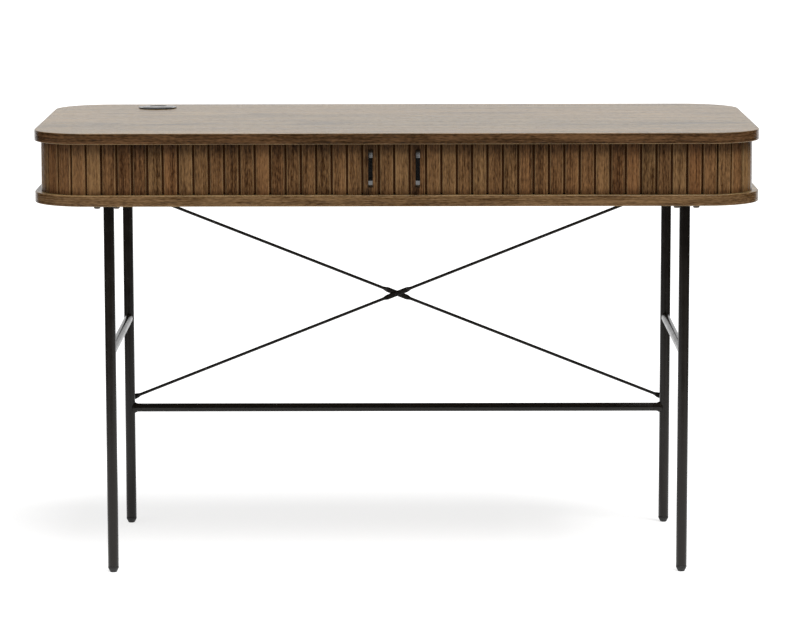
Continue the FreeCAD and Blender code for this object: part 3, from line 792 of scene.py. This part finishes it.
def makeSlats(node, side, model, first, count, skip=0.0):
    seed = slat["seed"] + int(slatMiddle(first) / slat["pitch"]) * slat["seedStep"]
    if side > 0:
        seed += slat["seedRight"]
    return runTree(addObject(pieceName(node), makeTrackPath(side)), slatTree, {
        "Slat": model, "First": slatMiddle(first), "Pitch": slat["pitch"], "Skip": skip, "Count": count,
        "Side": float(side), "Seed": seed, "Grain Apart": slat["grainApart"], "Finish": slatOak,
    })


def slatGroups(word, side):
    # (node, body, model, first slat, count, gap left for the handle slat)
    groups = {"corner": [], "side": [], "rear_corner": []}
    for number in range(straightSlats, tailStart):
        reach = slatMiddle(number) + side * track["meetingX"]
        where = "corner" if reach < bendEnd else "side" if reach < sideEnd else "rear_corner"
        groups[where].append(number)
    door, leading = word + "_door", slat["leading"]
    rows = [
        ("leading_slats", door, plainSlat, 0, leading - 1, slat["pitch"] + slat["handleExtra"]),
        ("handle_slat", door, wideSlat, 1, 1),
        ("front_slats", door, plainSlat, leading, straightSlats - leading),
    ]
    rows += [(where + "_slats", "root", plainSlat, still[0], len(still)) for where, still in groups.items()]
    return rows + [("tail_slats", word + "_door_tail", plainSlat, tailStart, slat["tail"])]


def foldAway(piece):
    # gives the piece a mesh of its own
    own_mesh(piece)


for word, side in sides:
    for kind, body, *layout in slatGroups(word, side):
        node = word + "_" + kind
        piece = fit(makeSlats(node, side, *layout), node, slatOak, body)
        if kind == "front_slats":
            foldAway(piece)
for model in (plainSlat, wideSlat):
    bpy.data.objects.remove(model)
print("slats set out:", straightSlats, "on each straight front run")


# Canvas behind the slats, one strip for each stretch that moves as one

canvas = {"face": 0.0171, "back": 0.0177, "margin": 0.002, "endGap": 0.0003}


def makeCanvas(word, side, kind, node, body, start, end):
    low, high = desk["shelf"] + canvas["margin"], desk["ceiling"] - canvas["margin"]
    face, back = canvas["face"], canvas["back"]
    bm = bmesh.new()
    grainSpot = bm.verts.layers.float_vector.new("grainSpot")
    section = ((face, low), (face, high), (back, high), (back, low))
    stops = trackStops(start, end)
    rings = [[trackSpot(side, stop, inset) + alongZ * z for inset, z in section] for stop in stops]
    for row, stop in zip(loft(bm, rings), stops):
        for vert, (_, z) in zip(row, section):
            vert[grainSpot] = Vector((stop, z, 0))
    name = word + kind + "Canvas"
    piece = fit(pieceFrom(bm, name), word + "_" + node, canvasCloth, body)
    if kind == "Front":
        foldAway(piece)


for word, side in sides:
    ends = (0, slat["leading"], straightSlats, tailStart, tailStart + slat["tail"])
    stops = [side * track["meetingX"] + slatBegin(number) for number in ends]
    strips = (
        ("Leading", "leading_canvas", word + "_door"),
        ("Front", "front_canvas", word + "_door"),
        ("Side", "turn_canvas", "root"),
        ("Tail", "tail_canvas", word + "_door_tail"),
    )
    half = canvas["endGap"] / 2
    for strip, start, end in zip(strips, stops, stops[1:]):
        makeCanvas(word, side, *strip, start + half, end - half)
print("canvas strips made")


# Cast bow handles: a post at each end, a bevel, and the grip between

handle = {
    "thickness": 0.003, "post": 0.0052, "bevelHeight": 0.0125, "bevelDepth": 0.0095,
    "shoulderBend": 0.018, "gripBend": 0.003, "innerBend": 0.0015, "arris": 0.0006, "steps": 6,
}
for word, side in sides:
    low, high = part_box(word + "_handle")
    middle, half, reach = (low.z + high.z) / 2, (high.z - low.z) / 2, high.y - low.y
    grip, post, shoulder = half - handle["bevelHeight"], half - handle["post"], reach - handle["bevelDepth"]
    back = reach - handle["thickness"]
    lean = handle["bevelDepth"] / handle["bevelHeight"]
    innerGrip = grip - handle["thickness"] * tan(atan(lean) / 2)
    innerPost = back - (post - innerGrip) * lean
    outside = [(0, half, 0), (shoulder, half, handle["shoulderBend"]), (reach, grip, handle["gripBend"])]
    inside = [(back, innerGrip, handle["innerBend"]), (innerPost, post, handle["innerBend"]), (0, post, 0)]
    outline = outside + [(out, -z, bend) for out, z, bend in reversed(outside)]
    outline += [(out, -z, bend) for out, z, bend in reversed(inside)] + inside
    bm = bmesh.new()
    outline = rounded(outline, handle["steps"])
    plate(bm, outline, lambda a, b, level: Vector((level, high.y - a, middle + b)), low.x, high.x)
    soften(bm, handle["arris"], segments=3)
    makePiece(bm, word + "_handle", handleBlack, word + "_door", smoothAngle=30)
print("handles made")


# Screws, bolts and nuts, set out by one tree on points that carry their turn

fastener = {  # shares of the shank's radius, then of the head's radius and height, then of a nut's
    "tip": 0.7, "taper": 0.4, "seat": 0.96, "rim": 0.12, "flat": 0.6, "shoulder": 0.35,
    "key": 0.44, "keyFloor": 0.45, "keyTaper": 0.96, "nutSeat": 0.97, "nutChamfer": 0.12,
    "sides": 24, "domeSteps": 4, "smooth": 40,
}


def fastenerRing(radius, z, hexed=False):
    # a ring about Z, round or with six flats at that distance
    ring = []
    for a in angles(fastener["sides"]):
        reach = radius / cos(a % (pi / 3) - pi / 6) if hexed else radius
        ring.append(Vector((reach * cos(a), reach * sin(a), z)))
    return ring


def makeFastener(size, length):
    # the head's underside is on zero and its shank runs down; the key hole is a hexagon
    head, height, shank = size["head"], size["height"], size["shank"]
    profile = [
        (shank * fastener["tip"], -length), (shank, shank * fastener["taper"] - length), (shank, 0),
        (head * fastener["seat"], 0), (head, height * fastener["rim"]),
    ]
    for step in range(fastener["domeSteps"] + 1):
        a = pi / 2 * step / fastener["domeSteps"]
        out = fastener["flat"] + (1 - fastener["flat"]) * cos(a)
        up = fastener["shoulder"] + (1 - fastener["shoulder"]) * sin(a)
        profile.append((head * out, height * up))
    key = head * fastener["key"]
    profile += [(key, height, True), (key * fastener["keyTaper"], height * fastener["keyFloor"], True)]
    bm = bmesh.new()
    loft(bm, [fastenerRing(*spot) for spot in profile])
    return pieceFrom(bm, "fastenerModel", fastener["smooth"])


def makeNut(apothem, height, bore):
    seat, chamfer = apothem * fastener["nutSeat"], height * fastener["nutChamfer"]
    below = [(bore, 0), (seat, 0), (apothem, chamfer, True)]
    above = [(apothem, height - chamfer, True), (seat, height), (bore, height)]
    bm = bmesh.new()
    loft(bm, [fastenerRing(*spot) for spot in below + above], ringed=True)
    return pieceFrom(bm, "nutModel", fastener["smooth"])


def fastenerTree():
    tree, given, made = newGroup(
        "fastenerSet",
        {"Geometry": ["Geometry"], "Object": ["Fastener"], "Int": ["Seed"], "Material": ["Finish"]},
        {"Geometry": ["Geometry"]}, "GeometryNodeTree",
    )
    base = output(tree, "FunctionNodeEulerToRotation", (0, carried(tree, "turn")))
    index = tree.nodes.new("GeometryNodeInputIndex").outputs[0]
    links = ("ID", index), ("Seed", given["Seed"])
    chance = addNode(tree, "FunctionNodeRandomValue", *links, data_type="FLOAT")
    twist = calculate(tree, "MULTIPLY", chance.outputs[1], 2 * pi)
    own = output(tree, "FunctionNodeEulerToRotation", (0, output(tree, "ShaderNodeCombineXYZ", (2, twist))))
    rotation = output(tree, "FunctionNodeRotateRotation", (0, base), (1, own), rotation_space="LOCAL")
    points = output(tree, "GeometryNodeMeshToPoints", (0, given["Geometry"]))
    giveMaterial(tree, setOnPoints(tree, given["Fastener"], points, rotation), given, made)
    return tree


screwTree = fastenerTree()
facingDown, facingBack, facingFront = (pi, 0, 0), (-pi / 2, 0, 0), (pi / 2, 0, 0)


def setOut(name, model, spots, material, seed=3):
    # spots are (place, turn) pairs, and the model goes once it has been set out
    mesh = bpy.data.meshes.new(name)
    mesh.from_pydata([place for place, _ in spots], [], [])
    turns = mesh.attributes.new("turn", "FLOAT_VECTOR", "POINT")
    for item, (_, turn) in zip(turns.data, spots):
        item.vector = turn
    piece = runTree(addObject(name, mesh), screwTree, {"Fastener": model, "Seed": seed, "Finish": material})
    bpy.data.objects.remove(model)
    return piece


def makeScrews(node, material, model, spots, seed=3, body="root"):
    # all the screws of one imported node
    return fit(setOut(pieceName(node), model, spots, material, seed), node, material, body)


def joinPieces(node, pieces):
    # several plain meshes in one piece of black fasteners
    bm = bmesh.new()
    for piece in pieces:
        bm.from_mesh(piece.data)
        bpy.data.objects.remove(piece)
    return makePiece(bm, node, boltBlack, smoothAngle=fastener["smooth"])


# Handle screws, seen from behind when a door is open
handleScrew = {"head": 0.0035, "height": 0.0018, "shank": 0.0015}
for word, side in sides:
    node, head = word + "_handle_screws", handleScrew["head"]
    low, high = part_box(node)
    canvasBack = desk["middleY"] - desk["halfDepth"] + canvas["back"]
    x = (low.x + high.x) / 2
    spots = [(Vector((x, canvasBack, z)), facingBack) for z in (low.z + head, high.z - head)]
    model = makeFastener(handleScrew, canvasBack - low.y)
    makeScrews(node, screwGrey, model, spots, body=word + "_door")

# Leg plates and their screws, under the bottom panel
legPlate = {"corner": 0.008, "steps": 6, "arris": 0.0005, "screwX": 0.016, "screwY": 0.037}
plateScrew = {"head": 0.0055, "height": 0.004, "shank": 0.0025, "length": 0.0155}
legs = {}
for word, side in sides:
    for end in ("front", "rear"):
        low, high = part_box(word + "_" + end + "_leg")
        legs[word, end] = ((low.x + high.x) / 2, (low.y + high.y) / 2, low.z, high.z, (high.x - low.x) / 2)
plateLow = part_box("left_leg_plates")[0].z
screwSpots = []
for word, side in sides:
    low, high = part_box(word + "_leg_plates")
    halfX, halfY, r = (high.x - low.x) / 2, high.y - legs[word, "rear"][1], legPlate["corner"]
    corners = [(-halfX, -halfY, r), (halfX, -halfY, r), (halfX, halfY, r), (-halfX, halfY, r)]
    outline = rounded(corners, legPlate["steps"])
    bm = bmesh.new()
    for end in ("front", "rear"):
        x, y = legs[word, end][:2]
        plate(bm, outline, lambda a, b, level, x=x, y=y: Vector((x + a, y + b, level)), low.z, high.z)
        for a, b in ((-1, -1), (-1, 1), (1, -1), (1, 1)):
            spot = Vector((x + a * legPlate["screwX"], y + b * legPlate["screwY"], low.z))
            screwSpots.append((spot, facingDown))
    soften(bm, legPlate["arris"])
    makePiece(bm, word + "_leg_plates", powderBlack)
model = makeFastener(plateScrew, plateScrew["length"])
makeScrews("plate_screws", screwGrey, model, screwSpots, seed=5)
print("plates and screws made")


# Legs, rails and feet

def makeSteel(bm, node, smoothAngle=50):
    return makePiece(bm, node, powderBlack, smoothAngle=smoothAngle)


tube = {
    "sides": 56, "footStep": 0.0006, "footSetback": 0.0004, "topGap": 0.0001, "divisions": 6,
    "plateWeld": [(0, -0.0028), (0.0009, -0.0019), (0.0019, -0.0009), (0.0026, 0.0), (0, 0.0)],
    "railWeld": 0.0011, "railInside": 0.4, "weldSteps": 64, "weldSides": 10,
}
for (word, end), (x, y, low, high, radius) in legs.items():
    bm = bmesh.new()
    runs = [low + (high - low) * i / tube["divisions"] for i in range(1, tube["divisions"])]
    levels = [low + tube["footStep"]] + runs + [high - tube["topGap"]]
    profile = [(radius - tube["footSetback"], low)] + [(radius, level) for level in levels]
    lathe(bm, Vector((x, y, 0)), alongZ, profile, tube["sides"])
    bead = [(radius + out, z) for out, z in tube["plateWeld"]]
    turnedRing(bm, Vector((x, y, plateLow)), bead, tube["sides"])
    makeSteel(bm, word + "_" + end + "_leg")

foot = {"tip": 0.0054, "rim": 0.003, "round": 0.001, "collar": 0.0004}
for word, side in sides:
    bm = bmesh.new()
    for end in ("front", "rear"):
        x, y, top, _, radius = legs[word, end]
        outline = rounded([
            (0, 0, 0), (foot["tip"], 0, foot["round"]), (radius, top - foot["rim"], foot["round"]),
            (radius, top, foot["collar"]), (0, top, 0),
        ])
        lathe(bm, Vector((x, y, 0)), alongZ, outline, tube["sides"])
    makePiece(bm, word + "_feet", footBlack, smoothAngle=50)


def weldBead(bm, joint, way, railRadius, legRadius):
    # the bead where a rail meets a leg follows the curve where the two tubes cross
    path = []
    for angle in angles(tube["weldSteps"]):
        aside, up = railRadius * cos(angle), railRadius * sin(angle)
        reach = sqrt(legRadius ** 2 - aside ** 2)
        path.append(joint + way * reach + Vector((way.y, -way.x, 0)) * aside + alongZ * up)
    rings = []
    for i, spot in enumerate(path):
        ahead = (path[(i + 1) % len(path)] - path[i - 1]).normalized()
        out = (spot - joint - way * (spot - joint).dot(way)).normalized()
        rings.append(circle(spot, out, ahead.cross(out).normalized(), tube["railWeld"], tube["weldSides"]))
    loft(bm, rings, ringed=True)


for word, side in sides:
    low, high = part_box(word + "_side_rail")
    z, radius = (low.z + high.z) / 2, (high.z - low.z) / 2
    x, front, _, _, legRadius = legs[word, "front"]
    rear = legs[word, "rear"][1]
    inside = legRadius * tube["railInside"]
    bm = bmesh.new()
    lathe(bm, Vector((x, front + inside, z)), alongY, [(radius, 0), (radius, rear - front - 2 * inside)])
    for y, way in ((front, alongY), (rear, -alongY)):
        weldBead(bm, Vector((x, y, z)), way, radius, legRadius)
    makeSteel(bm, word + "_side_rail")

# The crossbar between the rear legs, on a flared socket at each end
crossbar = {
    "flareRadius": 0.0095, "flare": 0.005, "wrap": 0.0045, "length": 0.011, "seam": 0.0004, "steps": 8,
}
setScrew = {
    "head": 0.0018, "height": 0.0008, "shank": 0.0016, "length": 0.004, "sunk": 0.0006, "fromEnd": 0.002,
}
barLow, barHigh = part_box("rear_crossbar")
barZ, barY, barRadius = (barLow.z + barHigh.z) / 2, legs["left", "rear"][1], (barHigh.z - barLow.z) / 2
seam, steps = crossbar["seam"], crossbar["steps"]
span = barHigh.x - barLow.x
levels = [seam] + [span * i / steps for i in range(1, steps)] + [span - seam]
profile = [(barRadius - seam, 0)] + [(barRadius, level) for level in levels] + [(barRadius - seam, span)]
bm = bmesh.new()
lathe(bm, Vector((barLow.x, barY, barZ)), alongX, profile)
makeSteel(bm, "rear_crossbar")
bm = bmesh.new()
for word, side in sides:
    x, y, _, _, legRadius = legs[word, "rear"]
    flare, end = crossbar["flareRadius"], legRadius + crossbar["length"]
    profile = [(flare, legRadius - crossbar["wrap"]), (flare, legRadius)]
    for share in [i / steps for i in range(1, steps + 1)]:
        profile.append((flare + (barRadius - flare) * eased(share), legRadius + crossbar["flare"] * share))
    profile += [(barRadius, end - seam), (barRadius - seam, end)]
    lathe(bm, Vector((x, y, barZ)), -side * alongX, profile)
makeSteel(bm, "crossbar_sockets")
low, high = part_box("crossbar_screws")
y, fromEnd = barY + barRadius - setScrew["sunk"], setScrew["fromEnd"]
spots = [(Vector((x, y, barZ)), facingBack) for x in (low.x + fromEnd, high.x - fromEnd)]
model = makeFastener(setScrew, setScrew["length"])
makeScrews("crossbar_screws", boltBlack, model, spots, seed=7)
print("legs, rails and crossbar made")


# The crossed braces: round rods pressed flat at their eyes and where they cross

brace = {
    "rod": 0.0027, "flat": 0.0011, "eye": 0.00475, "eyeLength": 0.0103, "ease": 0.010,
    "middle": 0.0046, "middleHalf": 0.0175, "squareness": 0.72, "tipSquared": 1e-9,
    "stations": 7, "tipSteps": 8, "sides": 28,
    "boss": 0.005, "bossArris": 0.0004, "bossInside": 0.75, "bossSides": 40, "legWall": 0.0015,
}


def braceSize(t, length):
    # half height, half thickness and flatness of the rod's section at t along it
    def pressed(distance, start):
        return 1 - eased(min(max((distance - start) / brace["ease"], 0), 1))

    fromEnd = min(t, length - t)
    eyeShare = pressed(fromEnd, brace["eyeLength"])
    middleShare = pressed(abs(t - length / 2), brace["middleHalf"])
    rod, flatness = brace["rod"], max(eyeShare, middleShare)
    tall = rod + (brace["eye"] - rod) * eyeShare + (brace["middle"] - rod) * middleShare
    if fromEnd < 0:
        tall = sqrt(max(brace["eye"] ** 2 - fromEnd ** 2, brace["tipSquared"]))
    return tall, rod + (brace["flat"] - rod) * flatness, flatness


def makeBrace(word, side):
    low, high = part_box(word + "_brace_rod")
    eye, y = brace["eye"], (low.y + high.y) / 2
    start = Vector((low.x + eye if side < 0 else high.x - eye, y, low.z + eye))
    end = Vector((high.x - eye if side < 0 else low.x + eye, y, high.z - eye))
    length = (end - start).length
    way = (end - start).normalized()
    up = way.cross(alongY).normalized()
    tips = [-eye * cos(pi / 2 * i / brace["tipSteps"]) for i in range(brace["tipSteps"])]
    eases = (
        (brace["eyeLength"], brace["eyeLength"] + brace["ease"]),
        (length / 2 - brace["middleHalf"] - brace["ease"], length / 2 - brace["middleHalf"]),
    )
    stops = {0, length / 2, *tips}
    for first, last in eases:
        stops |= {first, last}
        stops |= {first + (last - first) * i / brace["stations"] for i in range(1, brace["stations"])}
    half = sorted(stops)
    rings = []
    for t in half + [length - t for t in reversed(half[:-1])]:
        tall, thin, flatness = braceSize(t, length)
        power = 1 - brace["squareness"] * flatness
        ring = []
        for angle in angles(brace["sides"]):
            c, s = cos(angle), sin(angle)
            a = copysign(abs(c) ** power, c) * tall
            b = copysign(abs(s) ** power, s) * thin
            ring.append(start + way * t + up * a + alongY * b)
        rings.append(ring)
    bm = bmesh.new()
    loft(bm, rings)
    makeSteel(bm, word + "_brace_rod")
    return start, end


braceEnds = {word: makeBrace(word, side) for word, side in sides}
bolt = {"head": 0.0042, "height": 0.0026, "shank": 0.0025, "nut": 0.0038, "nutHeight": 0.004, "past": 0.001}
flatFull = 2 * brace["flat"]

# each eye is screwed from behind to a small boss on the back of a rear leg
bm = bmesh.new()
pieces = []
for word, ends in braceEnds.items():
    _, legY, _, _, legRadius = legs[word, "rear"]
    face, boss, arris = ends[0].y - brace["flat"] - legY, brace["boss"], brace["bossArris"]
    for spot in ends:
        profile = [(boss, legRadius * brace["bossInside"]), (boss, face - arris), (boss - arris, face)]
        lathe(bm, Vector((spot.x, legY, spot.z)), alongY, profile, brace["bossSides"])
    model = makeFastener(bolt, flatFull + face - legRadius + brace["legWall"] + bolt["past"])
    spots = [(spot + alongY * brace["flat"], facingBack) for spot in ends]
    pieces.append(setOut(word + "BraceScrewPair", model, spots, boltBlack, seed=11))
makeSteel(bm, "brace_bosses", smoothAngle=40)
joinPieces("brace_screws", pieces)

# where the rods cross, their flats lie face to face on one bolt
crossing = (braceEnds["left"][0] + braceEnds["left"][1]) / 2
frontSpot = crossing - alongY * brace["flat"]
boltModel = makeFastener(bolt, 2 * flatFull + bolt["nutHeight"] + bolt["past"])
nutModel = makeNut(bolt["nut"], bolt["nutHeight"], bolt["shank"])
joinPieces("brace_center_bolt", [
    setOut("crossBolt", boltModel, [(frontSpot, facingFront)], boltBlack, seed=13),
    setOut("crossNut", nutModel, [(frontSpot + alongY * (2 * flatFull), facingBack)], boltBlack, seed=14),
])
print("braces made")


# The cable grommet and its turning lid

grommet = {
    "flangeArris": 0.0003, "flangeFoot": 0.0002, "bore": 0.025, "boreArris": 0.0003, "barrel": 0.0298,
    "lidSeat": 0.027, "seatArris": 0.0003, "seatStep": 0.0002, "sleeveSteps": 3,
    "lidGap": 0.0003, "lidArris": 0.0004, "lidSteps": 88,
    "slotWidth": 0.029, "slotStart": 0.009, "slotCorner": 0.004, "slotSteps": 6,
}
sleeveLow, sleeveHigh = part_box("grommet_sleeve")
lidLow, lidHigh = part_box("grommet_lid")
grommetSpot = Vector(((sleeveLow.x + sleeveHigh.x) / 2, (sleeveLow.y + sleeveHigh.y) / 2, 0))
flange, seatLevel = (sleeveHigh.x - sleeveLow.x) / 2, lidLow.z - grommet["lidGap"]
bore, barrel, lidSeat = grommet["bore"], grommet["barrel"], grommet["lidSeat"]
profile = rounded([
    (bore, sleeveLow.z, grommet["boreArris"]), (barrel, sleeveLow.z, grommet["boreArris"]),
    (barrel, desk["top"], 0), (flange, desk["top"], grommet["flangeFoot"]),
    (flange, sleeveHigh.z, grommet["flangeArris"]), (lidSeat, sleeveHigh.z, grommet["seatArris"]),
    (lidSeat, seatLevel, 0), (bore, seatLevel, grommet["seatStep"]),
], grommet["sleeveSteps"])
bm = bmesh.new()
turnedRing(bm, grommetSpot, profile)
makePiece(bm, "grommet_sleeve", plasticBlack, smoothAngle=40)

lidRadius = (lidHigh.x - lidLow.x) / 2
half, start, bend = grommet["slotWidth"] / 2, grommet["slotStart"], grommet["slotCorner"]
mouth, steps = asin(half / lidRadius), grommet["lidSteps"]
turns = [mouth + (2 * pi - 2 * mouth) * i / steps for i in range(steps + 1)]
corners = [(-half, lidRadius, 0), (-half, start, bend), (half, start, bend), (half, lidRadius, 0)]
outline = [(lidRadius * sin(a), lidRadius * cos(a)) for a in turns]
outline += rounded(corners, grommet["slotSteps"])[1:-1]
bm = bmesh.new()
plate(bm, outline, lambda a, b, level: grommetSpot + Vector((a, b, level)), lidLow.z, lidHigh.z)
soften(bm, grommet["lidArris"])
makePiece(bm, "grommet_lid", plasticBlack, "lid", smoothAngle=40)
print("grommet made")

# Packed boards keep their shape and only take a material
boards = ["inner_back", "center_divider", "left_wall", "right_wall", "left_corner_board", "right_corner_board"]
for material, nodes in ((panelOak, ["back_panel"]), (boardOak, boards), (beech, ["carcass_dowels"])):
    for node in nodes:
        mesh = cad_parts[node].data
        mesh.materials.clear()
        mesh.materials.append(material)


# Floor, light and camera

studio = {
    "floorColor": (0.5, 0.5, 0.5, 1), "floorHalf": 60, "floorDrop": 0.0002, "floorGlow": 0.74, "ambient": 0.25,
    "keyStrength": 3.4, "keyAngle": 35, "keyFrom": (1.0, -1.5, 3.7),
    "fillStrength": 0.3, "fillAngle": 60, "fillFrom": (-2.4, -2.6, 1.6),
    "tentHalfWidth": 1.9, "tentFront": -1.6, "tentSideEnd": 1.6, "tentRoofEnd": 5.0,
    "tentFoot": 0.001, "tentHeight": 3.2, "tentColor": (0.02, 0.02, 0.02, 1),
}


def seenWhite(tree):
    # 1 where the camera, a glossy or a clear surface looks, and 0 for the light that falls on the desk
    paths = tree.nodes.new("ShaderNodeLightPath").outputs
    rays = [paths["Is " + ray + " Ray"] for ray in ("Camera", "Glossy", "Transmission")]
    return calculate(tree, "MAXIMUM", *rays)


def makeStage(bm, name, finish, look):
    # a matt backdrop that isn't part of the desk
    backdrop = pieceFrom(bm, name)
    material, tree, shader = newMaterial(finish, {"Specular IOR Level": 0.0, **look})
    backdrop.data.materials.append(material)
    return backdrop, tree, shader


bm = bmesh.new()
bmesh.ops.create_grid(bm, x_segments=1, y_segments=1, size=studio["floorHalf"])
bmesh.ops.translate(bm, verts=bm.verts, vec=(0, 0, -studio["floorDrop"]))
look = {"Base Color": studio["floorColor"], "Roughness": 0.9, "Emission Color": (1, 1, 1, 1)}
_, tree, shader = makeStage(bm, "floor", "paleFloor", look)
glow = calculate(tree, "MULTIPLY", seenWhite(tree), studio["floorGlow"])
tree.links.new(glow, shader.inputs["Emission Strength"])

# a tent of dark cloth, open at the back, that only reflections see: it keeps the front and the frame deep
half, front, foot = studio["tentHalfWidth"], studio["tentFront"], studio["tentFoot"]
sideEnd, roofEnd, tall = studio["tentSideEnd"], studio["tentRoofEnd"], studio["tentHeight"]
bm = bmesh.new()
for corners in (
    ((-half, front, foot), (half, front, foot), (half, front, tall), (-half, front, tall)),
    ((-half, front, tall), (half, front, tall), (half, roofEnd, tall), (-half, roofEnd, tall)),
    ((-half, front, foot), (-half, front, tall), (-half, sideEnd, tall), (-half, sideEnd, foot)),
    ((half, front, foot), (half, sideEnd, foot), (half, sideEnd, tall), (half, front, tall)),
):
    bm.faces.new([bm.verts.new(spot) for spot in corners])
look = {"Base Color": studio["tentColor"], "Roughness": 1.0}
tent = makeStage(bm, "darkTent", "darkCloth", look)[0]
for ray in ("visible_camera", "visible_diffuse", "visible_shadow", "visible_transmission"):
    setattr(tent, ray, False)

world = bpy.data.worlds.new("whiteStudio")
scene.world = world
world.use_nodes = True
tree = world.node_tree
background = tree.nodes["Background"]
background.inputs["Color"].default_value = (1, 1, 1, 1)
tree.links.new(remap(tree, seenWhite(tree), 0.0, 1.0, studio["ambient"], 1.0), background.inputs["Strength"])

for name in ("key", "fill"):
    light = bpy.data.lights.new(name + "Light", "SUN")
    light.energy = studio[name + "Strength"]
    light.angle = radians(studio[name + "Angle"])
    lamp = addObject(name + "Light", light)
    lamp.rotation_euler = Vector(studio[name + "From"]).to_track_quat("Z", "Y").to_euler()
scene.view_settings.view_transform = "Standard"

camera = {"place": (0.0051, -6.1439, 1.2995), "down": 8.358, "roll": -0.00162, "lens": 162.4, "sensor": 36.0}
eye = addObject("camera", bpy.data.cameras.new("camera"))
eye.data.lens = camera["lens"]
eye.data.sensor_width = camera["sensor"]
eye.data.clip_start, eye.data.clip_end = 0.1, 200
eye.matrix_world = (
    Matrix.Translation(camera["place"])
    @ Matrix.Rotation(radians(90 - camera["down"]), 4, "X")
    @ Matrix.Rotation(camera["roll"], 4, "Z")
)
scene.camera = eye
print("studio ready")

bpy.context.view_layer.update()
